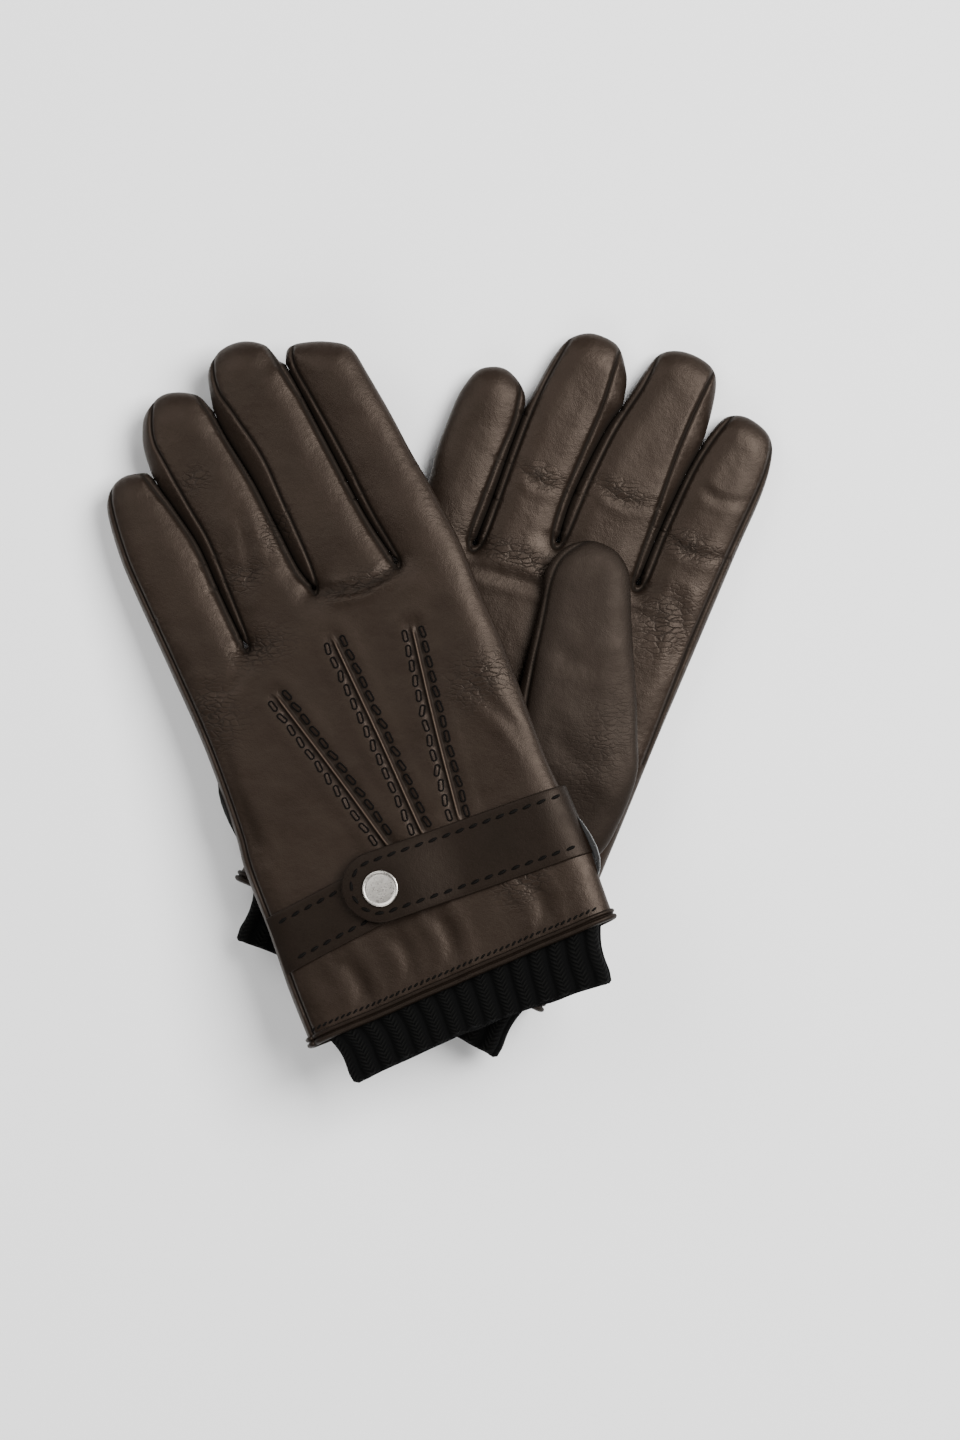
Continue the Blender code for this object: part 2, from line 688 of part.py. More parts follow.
def lay_down(upper, lower):
    """Lowers the upper glove until it rests on the lower one or on the table."""
    bpy.context.view_layer.update()
    high_points, high_faces = points_and_faces(upper.pieces)
    low_points, low_faces = points_and_faces(lower.pieces)
    above, below = BVHTree.FromPolygons(high_points, high_faces), BVHTree.FromPolygons(low_points, low_faces)
    room = lowest(high_points)
    far = 1.0
    xs, ys = [p.x for p in low_points], [p.y for p in low_points]
    for i in range(int((max(xs) - min(xs)) / REST_GRID)):
        for j in range(int((max(ys) - min(ys)) / REST_GRID)):
            x, y = min(xs) + i * REST_GRID, min(ys) + j * REST_GRID
            top = below.ray_cast(Vector((x, y, far)), Vector((0, 0, -1)))[0]
            bottom = above.ray_cast(Vector((x, y, -far)), Vector((0, 0, 1)))[0]
            if top and bottom:
                room = min(room, bottom.z - top.z - REST_GAP)
    upper.root.location.z -= room


def place_pair(gloves, root):
    """Lays the right glove on the table and the left one across it, with the origin under the pair's middle."""
    for hand, glove in gloves.items():
        lay = glove.lay
        pitch = LEFT_PITCH if hand == "left" else RIGHT_PITCH
        roll = LEFT_ROLL if hand == "left" else 0.0
        turn = Matrix.Rotation(lay["yaw"], 4, "Z") @ Matrix.Rotation(pitch, 4, "X") @ Matrix.Rotation(roll, 4, "Y")
        glove.root.rotation_euler = turn.to_euler()
        glove.root.location = (*lay["hem_centre"], 0)
    bpy.context.view_layer.update()
    gloves["right"].root.location.z -= lowest(points_and_faces(gloves["right"].pieces)[0])
    lay_down(gloves["left"], gloves["right"])
    bpy.context.view_layer.update()
    points = points_and_faces(gloves["left"].pieces + gloves["right"].pieces)[0]
    for axis in (0, 1):
        values = [p[axis] for p in points]
        root.location[axis] -= (min(values) + max(values)) / 2


def main():
    for obj in list(bpy.data.objects):
        bpy.data.objects.remove(obj)
    materials = make_materials()
    root = bpy.data.objects.new("pair", None)
    bpy.context.scene.collection.objects.link(root)
    gloves = {hand: make_glove(hand, materials, root) for hand in LAYS}
    place_pair(gloves, root)
    bpy.context.view_layer.update()
    return gloves


if __name__ == "__main__":
    main()
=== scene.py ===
# %% [markdown]
# # A pair of leather gloves
# Two lined dress gloves lie crossed on a pale table: the left one back up on top, the right one palm up
# under it. A frame of rigid parts is loaded first, and it fixes every size, place and joint. Everything
# made here is soft skin around that frame.

# %% Load the frame
import json
import math

import bmesh
import bpy
import numpy as np
from mathutils import Matrix, Vector, noise
from mathutils.geometry import delaunay_2d_cdt


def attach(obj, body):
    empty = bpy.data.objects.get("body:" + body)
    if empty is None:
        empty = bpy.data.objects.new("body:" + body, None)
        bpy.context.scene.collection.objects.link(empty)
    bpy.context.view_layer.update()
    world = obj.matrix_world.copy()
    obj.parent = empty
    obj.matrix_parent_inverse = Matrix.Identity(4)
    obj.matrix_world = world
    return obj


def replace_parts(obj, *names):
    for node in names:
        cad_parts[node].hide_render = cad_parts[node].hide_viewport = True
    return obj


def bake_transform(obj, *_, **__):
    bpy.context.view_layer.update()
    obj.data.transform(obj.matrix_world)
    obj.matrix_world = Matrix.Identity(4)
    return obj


MM = 0.001
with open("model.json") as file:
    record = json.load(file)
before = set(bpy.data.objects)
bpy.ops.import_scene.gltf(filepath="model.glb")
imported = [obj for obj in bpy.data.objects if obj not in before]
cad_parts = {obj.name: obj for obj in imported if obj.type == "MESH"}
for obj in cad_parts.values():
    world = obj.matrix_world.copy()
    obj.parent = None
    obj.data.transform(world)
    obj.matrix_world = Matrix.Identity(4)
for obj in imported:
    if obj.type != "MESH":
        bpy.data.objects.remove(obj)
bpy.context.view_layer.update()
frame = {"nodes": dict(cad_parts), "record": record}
joints = {joint["name"]: joint for joint in frame["record"]["behaviour"]["joints"]}

# %% [markdown]
# A glove maker works on one flat pattern for both hands. Here its X runs across the hand to the thumb, its
# Y from the hem to the fingertips and its W out of the back of the hand, all in millimetres. A matrix takes
# the pattern to each glove, and because the right glove lies palm up its W points down. The matrix is read
# from the thumb's and the strap's hinges, so the skin stays with the frame wherever the gloves lie.

# %% From the pattern to each glove
HANDS = ("left", "right")
HAND_DEPTH = 5.6
THUMB_LEVEL = -9.8
THUMB_PIVOT = (46.0, 64.0, THUMB_LEVEL)


def pattern_to_glove(hand):
    """The matrix from the pattern, in millimetres, to one glove in the frame, in metres."""
    swing, strap = joints[f"{hand}_thumb_swing"], joints[f"{hand}_strap_hinge"]
    turned_over = -1 if hand == "right" else 1
    up = -Vector(swing["axis"]).normalized()
    along = turned_over * Vector(strap["axis"]).normalized()
    across = along.cross(up)
    spread = Matrix((across, along, up * turned_over)).transposed() * MM
    place = Vector(swing["pos_m"]) - spread @ Vector(THUMB_PIVOT)
    return Matrix.Translation(place) @ spread.to_4x4()


LIE = {hand: pattern_to_glove(hand) for hand in HANDS}


def on_glove(hand, point):
    """A pattern point's place in the frame."""
    return LIE[hand] @ Vector(point)


print("left hem centre", on_glove("left", (0, 0, 0)), "right hem centre", on_glove("right", (0, 0, 0)))

# %% [markdown]
# ## Finishes
# Nappa is a fine smooth leather: a close pore grain, slow changes of tone where it was handled, and tiny
# wrinkles that run together. An image could carry all of that, but noise textures on Object coordinates
# cover every piece at one scale with no unwrapping, so each finish is a small node tree.

# %% Building a finish
class Finish:
    """A material in the making: its shader, its Object coordinates and short ways to add nodes."""

    def __init__(self, name, colour, roughness, metallic=0.0, specular=0.5):
        self.material = bpy.data.materials.new(name)
        self.material.use_nodes = True
        self.material.diffuse_color = (*colour, 1)
        self.nodes, self.links = self.material.node_tree.nodes, self.material.node_tree.links
        self.shader = self.nodes["Principled BSDF"]
        self.set("Base Color", (*colour, 1))
        self.set("Roughness", roughness)
        self.set("Metallic", metallic)
        self.set("Specular IOR Level", specular)
        self.where = self.nodes.new("ShaderNodeTexCoord")
        self.place = self.where.outputs["Object"]

    def set(self, socket, value):
        """Gives one of the shader's sockets a constant."""
        self.shader.inputs[socket].default_value = value

    def feed(self, socket, source):
        """Links a source to one of the shader's sockets."""
        self.links.new(source, self.shader.inputs[socket])

    def add(self, kind, source, socket="Vector", **values):
        """A node that reads a source, with values on its other sockets."""
        made = self.nodes.new(f"ShaderNode{kind}")
        for name, value in values.items():
            made.inputs[name].default_value = value
        self.links.new(source, made.inputs[socket])
        return made

    def noise(self, source, scale, detail=4.0, roughness=0.55, kind="FBM", output="Factor"):
        """A noise texture, as its factor or its colour."""
        made = self.add("TexNoise", source, Scale=scale, Detail=detail, Roughness=roughness)
        made.noise_type = kind
        return made.outputs[1 if output == "Color" else 0]

    def cells(self, source, scale, feature="F1"):
        """A cell texture's distances."""
        made = self.add("TexVoronoi", source, Scale=scale)
        made.feature = feature
        return made.outputs["Distance"]

    def attribute(self, name):
        """A vertex attribute's value."""
        made = self.nodes.new("ShaderNodeAttribute")
        made.attribute_name = name
        return made.outputs["Fac"]

    def ramp(self, source, *stops):
        """A colour ramp between two (position, colour) stops."""
        made = self.add("ValToRGB", source, "Fac")
        for element, (position, colour) in zip(made.color_ramp.elements, stops):
            element.position, element.color = position, (*colour, 1)
        return made.outputs["Color"]

    def stretch(self, source, low, high, from_low=0.3, from_high=0.7):
        """A source value stretched to a range."""
        limits = {"From Min": from_low, "From Max": from_high, "To Min": low, "To Max": high}
        return self.add("MapRange", source, "Value", **limits).outputs["Result"]

    def bump(self, height, distance, strength=1.0, before=None):
        """A bump of a height in metres, on top of the bump before it."""
        made = self.add("Bump", height, "Height", Strength=strength, Distance=distance)
        if before is not None:
            self.links.new(before, made.inputs["Normal"])
        return made.outputs["Normal"]

    def maths(self, operation, one, *others, kind="Math"):
        """A Math or a VectorMath node on sockets or constants."""
        made = self.nodes.new(f"ShaderNode{kind}")
        made.operation = operation
        for socket, value in zip(made.inputs, (one, *(others or (0.0,)))):
            if isinstance(value, bpy.types.NodeSocket):
                self.links.new(value, socket)
            else:
                socket.default_value = value
        return made.outputs[0]

    def tint(self, colour, share, tint):
        """A colour mixed towards a tint by a share."""
        made = self.nodes.new("ShaderNodeMix")
        made.data_type = "RGBA"
        self.links.new(share, made.inputs["Factor"])
        self.links.new(colour, made.inputs["A"])
        made.inputs["B"].default_value = (*tint, 1)
        return made.outputs["Result"]

    def mottle(self, scale, detail, dark, light, depth, strength):
        """A fine mottled grain in the colour and the surface."""
        grain = self.noise(self.place, scale, detail)
        self.feed("Base Color", self.ramp(grain, (0.3, dark), (0.7, light)))
        self.feed("Normal", self.bump(grain, depth, strength))
        return grain


# %% Leather
PORE_SCALE, PORE_DEPTH = 2400, 0.00007
CRACKLE_SCALE, CRACKLE_DEPTH = 700, 0.00014
CRACK_SCALE, CRACK_DEPTH, CRACK_WIDTH, CRACK_SHADE = 420, 0.00026, 0.16, 0.7
CRACK_BEND_SCALE, CRACK_BEND, CRACK_STRETCH = 260, 0.0022, (0.55, 1.4, 1.0)
WRINKLE_SCALE, WRINKLE_DEPTH, WRINKLE_PATCH_SCALE = 330, 0.00016, 45
DRAPE_SCALE, DRAPE_DEPTH = 85, 0.0010
TONE_SCALE = 38
DYE_SHEEN = (1.0, 0.80, 0.66)
# near-black colour of the painted shade in seam grooves, slots, folds, cracks and on the thumb
PAINTED_SHADE_TONE = (0.0008, 0.0007, 0.0006)
# lighter tan of the painted highlight on the tuck ridges
RIDGE_HIGHLIGHT_TONE = (0.075, 0.052, 0.038)


def make_leather(name, dark, light, roughness, wrinkle=1.0, specular=0.25):
    """Nappa between a dark and a light tone, with pores and wrinkles in patches, painted shade in seams,
    slots, folds and cracks, and a painted highlight on the tuck ridges.
    """
    finish = Finish(name, dark, roughness, specular=specular)
    finish.set("Specular Tint", (*DYE_SHEEN, 1))
    place, tone = finish.place, finish.attribute("tone")
    colour = finish.ramp(finish.noise(place, TONE_SCALE, detail=5.0), (0.32, dark), (0.68, light))
    # painted highlight: the tuck ridges are mixed towards a lighter tan where the tone attribute is above
    # zero
    colour = finish.tint(colour, finish.stretch(tone, 0.0, 1.0, 0.0, 1.0), RIDGE_HIGHLIGHT_TONE)
    # painted shade: the share of near black where the tone attribute is below zero, which also roughens the
    # leather there
    seam = finish.stretch(tone, 1.0, 0.0, -1.0, 0.0)
    bend = finish.noise(place, CRACK_BEND_SCALE, detail=3.0, output="Color")
    bent = finish.maths("MULTIPLY_ADD", bend, (CRACK_BEND,) * 3, place, kind="VectorMath")
    bent = finish.maths("MULTIPLY", bent, CRACK_STRETCH, kind="VectorMath")
    crack = finish.stretch(finish.cells(bent, CRACK_SCALE, "DISTANCE_TO_EDGE"), 1.0, 0.0, 0.0, CRACK_WIDTH)
    crack = finish.maths("MULTIPLY", crack, finish.attribute("crinkle"))
    # painted shade in the cracks of the crinkled patches, mixed towards the near-black shade colour
    colour = finish.tint(colour, finish.maths("MULTIPLY", crack, CRACK_SHADE), PAINTED_SHADE_TONE)
    finish.feed("Base Color", finish.tint(colour, seam, PAINTED_SHADE_TONE))
    rub = finish.noise(place, TONE_SCALE * 3, detail=6.0)
    rub = finish.stretch(rub, roughness - 0.05, roughness + 0.07)
    finish.feed("Roughness", finish.maths("ADD", rub, finish.maths("MULTIPLY", seam, 0.4)))
    patches = finish.stretch(finish.noise(place, WRINKLE_PATCH_SCALE, detail=2.0), 0.0, 1.0, 0.47, 0.62)
    folds = finish.noise(place, WRINKLE_SCALE, detail=3.0, kind="RIDGED_MULTIFRACTAL")
    bump = finish.bump(finish.maths("MULTIPLY", folds, patches), WRINKLE_DEPTH * wrinkle, 0.5)
    bump = finish.bump(finish.noise(place, DRAPE_SCALE, detail=3.0), DRAPE_DEPTH * wrinkle, 0.4, bump)
    bump = finish.bump(finish.maths("MULTIPLY", crack, -1.0), CRACK_DEPTH, 0.6, bump)
    bump = finish.bump(finish.noise(place, CRACKLE_SCALE, roughness=0.65), CRACKLE_DEPTH, 0.55, bump)
    finish.feed("Normal", finish.bump(finish.cells(place, PORE_SCALE), PORE_DEPTH, 0.5, bump))
    return finish.material


leather = make_leather("nappa", (0.0072, 0.0043, 0.0028), (0.0118, 0.0075, 0.0052), 0.44)
strap_leather = make_leather("strap_nappa", (0.0036, 0.0022, 0.0014), (0.0056, 0.0034, 0.0023), 0.5, 0.5,
                             specular=0.17)
print("leathers", leather.name, strap_leather.name)


# %% Thread, lining and metal
def make_thread():
    """Waxed sewing thread: dark brown, with its ply as fine diagonal ridges."""
    finish = Finish("thread", (0.002, 0.0016, 0.0014), 0.7, specular=0.06)
    wave = finish.add("TexWave", finish.place, Scale=900)
    wave.bands_direction = "DIAGONAL"
    ply = wave.outputs["Fac"]
    finish.feed("Base Color", finish.ramp(ply, (0, (0.0008, 0.0007, 0.0006)), (1, (0.004, 0.0032, 0.0026))))
    finish.feed("Normal", finish.bump(ply, 0.0001, 0.6))
    return finish.material


def make_lining():
    """Brushed black lining: a soft nap with sheen."""
    finish = Finish("brushed_lining", (0.012, 0.012, 0.011), 0.95, specular=0.2)
    finish.mottle(1500, 6.0, (0.0022, 0.0022, 0.0022), (0.02, 0.019, 0.018), 0.0004, 0.7)
    finish.set("Sheen Weight", 0.3)
    return finish.material


def make_nickel():
    """Satin nickel: a fine brushed scatter in the roughness and the surface."""
    finish = Finish("satin_nickel", (0.62, 0.585, 0.54), 0.3, metallic=1.0)
    scratch = finish.mottle(1800, 5.0, (0.56, 0.53, 0.48), (0.68, 0.64, 0.59), 0.00003, 0.4)
    finish.feed("Roughness", finish.stretch(scratch, 0.24, 0.4))
    return finish.material


thread = make_thread()
lining = make_lining()
nickel = make_nickel()
print("other finishes", thread.name, lining.name, nickel.name)

# %% [markdown]
# The rib knit is drawn on the piece's own UV map, in metres round the cuff and up it. Each stitch is a V of
# two slanted strands: a wave across the column, pushed up the column by the distance from its middle.

# %% Knit
STITCH_WIDE = 0.0021
STITCH_TALL = 0.0016
STRAND_SLANT = 3.2


def make_knit():
    """Black rib knit with V stitches, with painted shade darkening the hollows between strands and columns.
    """
    finish = Finish("rib_knit", (0.006, 0.006, 0.0055), 0.9, specular=0.08)
    split = finish.add("SeparateXYZ", finish.where.outputs["UV"])
    column = finish.maths("FRACT", finish.maths("DIVIDE", split.outputs["X"], STITCH_WIDE))
    off = finish.maths("ABSOLUTE", finish.maths("SUBTRACT", column, 0.5))
    row = finish.maths("DIVIDE", split.outputs["Y"], STITCH_TALL)
    slanted = finish.maths("ADD", row, finish.maths("MULTIPLY", off, STRAND_SLANT))
    wave = finish.maths("SINE", finish.maths("MULTIPLY", slanted, 2 * math.pi))
    strand = finish.maths("MULTIPLY", finish.maths("ADD", wave, 1.0), 0.5)
    height = finish.maths("MULTIPLY", strand, finish.stretch(off, 1.0, 0.0, 0.14, 0.36))
    fluff = finish.noise(finish.place, 2500)
    height = finish.maths("ADD", height, finish.maths("MULTIPLY", fluff, 0.35))
    # painted shade: the colour follows the strand height, darker in the hollows and lighter on the crests
    shade = finish.ramp(height, (0.15, (0.0004, 0.0004, 0.0004)), (1.0, (0.0032, 0.0031, 0.0028)))
    finish.feed("Base Color", shade)
    finish.feed("Normal", finish.bump(height, 0.0007, 0.8))
    return finish.material


knit = make_knit()
print("knit stitch in mm", round(STITCH_WIDE / MM, 2), "by", round(STITCH_TALL / MM, 2))

# %% [markdown]
# ## The pattern's lines
# A leather finger is four pieces: a back, a palm and two narrow side walls, the fourchettes. Two lines of
# each kind are all the plan needs. The outline runs up each finger and down the slot beside it, and the
# seams run a few millimetres inside it. Both are smooth curves through given points, in millimetres: a
# slot is one line with a small gap on each side of it.

# %% The two plans
PLANS = {
    "left": {
        "index_side": [(58, 0), (58.6, 12), (59.5, 24), (57.9, 48), (57.6, 62), (59, 99), (58.7, 120),
                       (58.6, 142), (56.6, 162), (54.9, 176), (53.5, 191), (51.4, 207)],
        "tips": [
            [(50.2, 215), (48, 219), (43.2, 222.2), (38.4, 224.4), (31.8, 226.2), (28.4, 225.2)],
            [(24.6, 223), (23.6, 226.5), (21.8, 230.6), (16.4, 234.3), (10.1, 235.4), (4.6, 233.9),
             (-0.5, 228.6)],
            [(-4.7, 219.5), (-6.6, 223.7), (-12.5, 227.6), (-19.1, 228.8), (-26.4, 224.9), (-30.1, 218.4),
             (-31.7, 211.7)],
            [(-33.6, 205.9), (-36.6, 207.1), (-41.2, 208.1), (-45.7, 207), (-49.2, 204), (-51.9, 198)],
        ],
        "slots": [
            [(26.3, 221), (27.9, 206), (29.9, 183), (32.1, 161), (35.6, 142)],
            [(-3.5, 216), (-2.6, 206), (0.3, 188), (2.0, 168.5), (3.3, 154), (5.6, 145)],
            [(-32.1, 203), (-28.6, 188), (-26, 174), (-25.4, 155), (-24.3, 136)],
        ],
        "little_side": [(-53.6, 183), (-53.5, 168), (-52.3, 138), (-51.4, 108), (-52.7, 78), (-54.4, 64),
                        (-54.7, 42), (-55.9, 20), (-56, 0)],
        "valleys": [
            [(33.5, 230), (29.6, 220), (30.9, 206), (33.4, 183), (34.9, 161.6), (37.2, 143), (35.8, 139),
             (33.9, 143), (30.8, 161), (28.6, 183), (26.6, 206), (25, 215), (22.4, 232)],
            [(6, 240), (1.4, 224), (3.4, 212), (7, 193.7), (7.6, 176.7), (8.2, 158), (7.6, 147), (5.7, 142.2),
             (4.2, 146), (1.7, 153), (0.5, 168.5), (-1, 187.7), (-4, 207.6), (-4.9, 215), (-7.4, 226)],
            [(-20, 232), (-26, 216.7), (-25.5, 205), (-23.5, 187.7), (-21.7, 174), (-21.8, 155), (-22.3, 138),
             (-24.2, 133.4), (-25.9, 138), (-26.7, 155), (-27.4, 174), (-30, 188), (-33.2, 199), (-36, 210)],
        ],
        "side_seam": [(-44, 212), (-48.6, 201), (-50.7, 183), (-50.6, 168), (-49.3, 138), (-48.5, 108),
                      (-49.8, 78), (-51.4, 64), (-52, 42), (-53, 20), (-53.2, -3)],
    },
    "right": {
        "index_side": [(57.4, 0), (58, 12), (58.5, 30), (58, 55), (57.8, 70), (57.2, 99), (57, 125),
                       (56.8, 150), (56.6, 174), (56.8, 189.5), (56.5, 198), (55.4, 206)],
        "tips": [
            [(53.2, 212.4), (49, 216.2), (41.8, 217.9), (36.6, 216.6), (33.2, 212.8)],
            [(29.2, 214.5), (26.9, 224), (23.6, 228.6), (17.6, 230.4), (10.3, 229.8), (4.6, 226.1),
             (2.1, 218.4)],
            [(-2, 212), (-4.3, 216.4), (-8.8, 221.9), (-13.4, 223.7), (-20.7, 223.1), (-26.3, 218.8),
             (-28.8, 212.4), (-30.1, 203)],
            [(-32.9, 193.9), (-37, 197.6), (-42.5, 199.7), (-47.6, 198.6), (-52, 194.8), (-54.2, 186)],
        ],
        "slots": [
            [(30.7, 203), (29.5, 190), (28.9, 170), (29.3, 149.5)],
            [(-0.2, 204), (-2.2, 195), (-3.4, 180), (-3.6, 165), (-2.1, 152)],
            [(-31.1, 189), (-30.4, 175), (-29.2, 158), (-28.5, 139.5)],
        ],
        "little_side": [(-54.3, 178), (-53.6, 164), (-52, 152), (-51.8, 130), (-52.5, 100), (-54, 70),
                        (-55.5, 40), (-56.8, 15), (-57.4, 0)],
        "valleys": [
            [(38, 221), (34.6, 210), (32.6, 200), (31.6, 189.8), (31.3, 170), (31.8, 151), (29.5, 146.6),
             (27.2, 151), (25.6, 172), (23.8, 195.6), (23.6, 212), (24.6, 233)],
            [(4.4, 231), (3.8, 214), (0.9, 196), (-0.1, 176), (0.1, 154), (-2.1, 149), (-4.9, 154),
             (-6.3, 165), (-6.5, 182), (-6.7, 200), (-7.8, 212), (-9.4, 227)],
            [(-25.8, 222), (-28, 203), (-28.3, 185), (-26.8, 160), (-25.9, 141.5), (-28.4, 136.6),
             (-31.2, 141.5), (-32.1, 155), (-32.7, 172), (-33.2, 186), (-37.4, 203)],
        ],
        "side_seam": [(50.5, 219), (53.6, 210), (54.8, 198), (54.3, 175), (54.2, 140), (55.2, 113), (56, 92)],
    },
}
OUTLINE_STEP = 1.2
SLOT_HALF_GAP = 0.01
SLOT_STEP = 2.5
CROTCH_RADIUS = 0.8


def smooth(points, spacing):
    """Points at a spacing along a smooth curve through the chosen ones."""
    p = np.array(points, float)
    p = np.vstack([2 * p[0] - p[1], p, 2 * p[-1] - p[-2]])
    found = []
    for a, b, c, d in zip(p, p[1:], p[2:], p[3:]):
        count = max(1, round(float(np.linalg.norm(c - b)) / spacing))
        t = (np.arange(count) / count)[:, None]
        square, cube = 2 * a - 5 * b + 4 * c - d, 3 * b - a - 3 * c + d
        found.append(0.5 * (2 * b + (c - a) * t + square * t**2 + cube * t**3))
    return np.vstack([*found, p[-2:-1]])


def moved(points, across):
    """A line of points moved across the hand."""
    return [(x + across, y) for x, y in points]


def hem_of(plan):
    """The hem's line, from the little finger's side up to the index side."""
    return smooth([plan["little_side"][-1], (0, -0.4), plan["index_side"][0]], OUTLINE_STEP)[:-1]


def outline_of(plan):
    """The glove's silhouette, anticlockwise from the hem on the little finger's side."""
    chains = [hem_of(plan)]
    rising = plan["index_side"]
    for tip, slot in zip(plan["tips"], plan["slots"] + [None]):
        if slot is None:
            falling = plan["little_side"]
        else:
            path, (x, y) = smooth(slot, SLOT_STEP)[:-1], slot[-1]
            falling = [*moved(path, SLOT_HALF_GAP), (x + CROTCH_RADIUS, y)]
        chains.append(smooth([*rising, *tip, *falling], OUTLINE_STEP)[: -1 if slot is None else None])
        if slot is not None:
            turn = np.linspace(0, math.pi, 7)[1:-1]
            around = (x + CROTCH_RADIUS * np.cos(turn), y - CROTCH_RADIUS * np.sin(turn))
            chains.append(np.column_stack(around))
            rising = [(x - CROTCH_RADIUS, y), *moved(path[::-1], -SLOT_HALF_GAP)]
    return np.vstack(chains)


for hand in HANDS:
    print(hand, "outline points", len(outline_of(PLANS[hand])))

# %% [markdown]
# ## From lines to leather
# An empty glove is a cushion with a very uneven outline. Every point of the plan gets a height from how far
# inside the outline it lies: a round edge, then a soft plateau. Near a seam the leather dives into a narrow
# groove. The mesh comes from a Delaunay triangulation of the outline, of rings of points beside each line,
# where the shape turns fast, and of an even grid between them.

# %% Distances and insides
def distance_to(points, line):
    """Each point's distance to a line of points."""
    a, b = line[:-1], line[1:]
    ab = b - a
    length = np.maximum((ab**2).sum(1), 1e-12)
    found = np.empty(len(points))
    for start in range(0, len(points), 1500):
        p = points[start : start + 1500, None, :]
        t = np.clip(((p - a) * ab).sum(2) / length, 0, 1)
        gap = p - (a + t[..., None] * ab)
        found[start : start + 1500] = np.sqrt((gap**2).sum(2)).min(1)
    return found


def inside(points, outline):
    """Which points lie inside a closed outline."""
    x, y = points[:, 0:1], points[:, 1:2]
    x0, y0 = outline[:, 0], outline[:, 1]
    x1, y1 = np.roll(x0, -1), np.roll(y0, -1)
    spans = (y0 > y) != (y1 > y)
    at = x0 + (y - y0) * (x1 - x0) / np.where(y1 == y0, 1e-9, y1 - y0)
    return (spans & (x < at)).sum(1) % 2 == 1


def beside(line, offsets):
    """Points beside a line at each offset to its left."""
    step = np.gradient(line, axis=0)
    step /= np.maximum(np.linalg.norm(step, axis=1), 1e-9)[:, None]
    left = np.column_stack([-step[:, 1], step[:, 0]])
    return np.vstack([line + left * offset for offset in offsets])


def rings_beside(line, offsets):
    """Points beside a line at each offset, without those that a bend brings back to it."""
    near = beside(line, offsets)
    reach = np.abs(np.repeat(offsets, len(line)))
    return near[distance_to(near, line) > reach * 0.9]


def clear_of(points, lines, gap):
    """The points that lie more than a gap from every line."""
    for line in lines:
        points = points[distance_to(points, line) > gap]
    return points


def grid_in(low, high, spacing):
    """An even triangular grid of points."""
    rows = []
    for row, y in enumerate(np.arange(low[1], high[1], spacing * math.sqrt(3) / 2)):
        xs = np.arange(low[0], high[0], spacing) + (row % 2) * spacing / 2
        rows.append(np.column_stack([xs, np.full(len(xs), y)]))
    return np.vstack(rows)


# %% Triangulating a plan
EDGE_RINGS = (0.05, 0.22, 0.55, 1.1, 2.0)
SEAM_RINGS = (0.3, 0.7, 1.3)
GRID_SPACING = 1.7


def triangulate(outline, creases, spacing=GRID_SPACING):
    """A triangulated plan: its points, its triangles and which points are on the outline."""
    closed = np.vstack([outline, outline[:1]])
    fill = clear_of(grid_in(outline.min(0), outline.max(0), spacing), [closed], EDGE_RINGS[-1] + 0.7)
    points = [clear_of(fill, creases, SEAM_RINGS[-1] + 0.6),
              clear_of(rings_beside(closed, EDGE_RINGS), creases, 0.25)]
    for crease in creases:
        near = rings_beside(crease, [side * ring for ring in SEAM_RINGS for side in (-1, 1)])
        points.append(clear_of(clear_of(near, [closed], 0.35), creases, SEAM_RINGS[0] * 0.8))
    points = np.vstack(points)
    points = points[inside(points, outline)]
    lines = [closed[:-1], *creases]
    constraints, start = [], 0
    for number, line in enumerate(lines):
        count = len(line)
        constraints += [(start + i, start + i + 1) for i in range(count - 1)]
        if number == 0:
            constraints.append((start + count - 1, start))
        start += count
    every = np.vstack([*lines, points])
    made = delaunay_2d_cdt([Vector(p) for p in every], constraints, [], 0, 1e-4)
    flat = np.array([tuple(p) for p in made[0]])
    faces = np.array([face for face in made[2] if len(face) == 3])
    centres = flat[faces].mean(1)
    faces = faces[inside(centres, outline)]
    used = np.unique(faces)
    renumber = np.full(len(flat), -1)
    renumber[used] = np.arange(len(used))
    flat, faces = flat[used], renumber[faces]
    edges = np.sort(np.vstack([faces[:, [0, 1]], faces[:, [1, 2]], faces[:, [2, 0]]]), axis=1)
    unique, count = np.unique(edges, axis=0, return_counts=True)
    rim = np.zeros(len(flat), bool)
    rim[unique[count == 1].ravel()] = True
    twice = np.cross(flat[faces[:, 1]] - flat[faces[:, 0]], flat[faces[:, 2]] - flat[faces[:, 0]])
    faces[twice < 0] = faces[twice < 0][:, ::-1]
    return flat, faces, rim


# %% [markdown]
# The height has four parts. The round edge is a quarter circle. The hand's back carries three points, which
# are pin tucks: a thin raised ridge with a groove on each side. Slow waves and a few soft folds keep the
# leather from looking inflated, and each seam ends in its groove.

# %% The height of the leather
EDGE_RADIUS = 11.0
GROOVE_DEPTH = 0.85
GROOVE_WIDTH = 0.55
TUCKS = [
    [(-20.2, 115.5), (-11.5, 83), (-3.4, 50)],
    [(5.8, 125.6), (7.6, 90), (8.9, 50)],
    [(32.9, 118.2), (27.6, 86), (22.4, 50)],
]
TUCK_END_FADE = 3.0
FOLD_END_FADE = 6.0
BACK_FOLDS = [
    [(8.4, 141.6), (22, 137.6), (35.6, 139.8), 1.5, 1.3],
    [(-16, 152), (-10, 166), (-8, 182), 0.45, 1.8],
    [(-19, 163), (-13, 158), (-4, 160), 0.4, 1.5],
    [(-46, 128), (-36, 124), (-27, 129), 0.4, 2.0],
    [(44, 92), (50, 78), (55, 66), 0.5, 2.0],
    [(36, 24), (38, 13), (36, 4), 0.8, 2.4],
    [(-34, 24), (-31, 12), (-33, 3), 0.8, 2.4],
    [(2, 26), (4, 14), (1, 4), 0.9, 2.4],
    [(-14, 25), (-12, 14), (-15, 4), 0.6, 2.0],
    [(-44, 110), (-47, 90), (-46, 66), 0.35, 2.2],
]
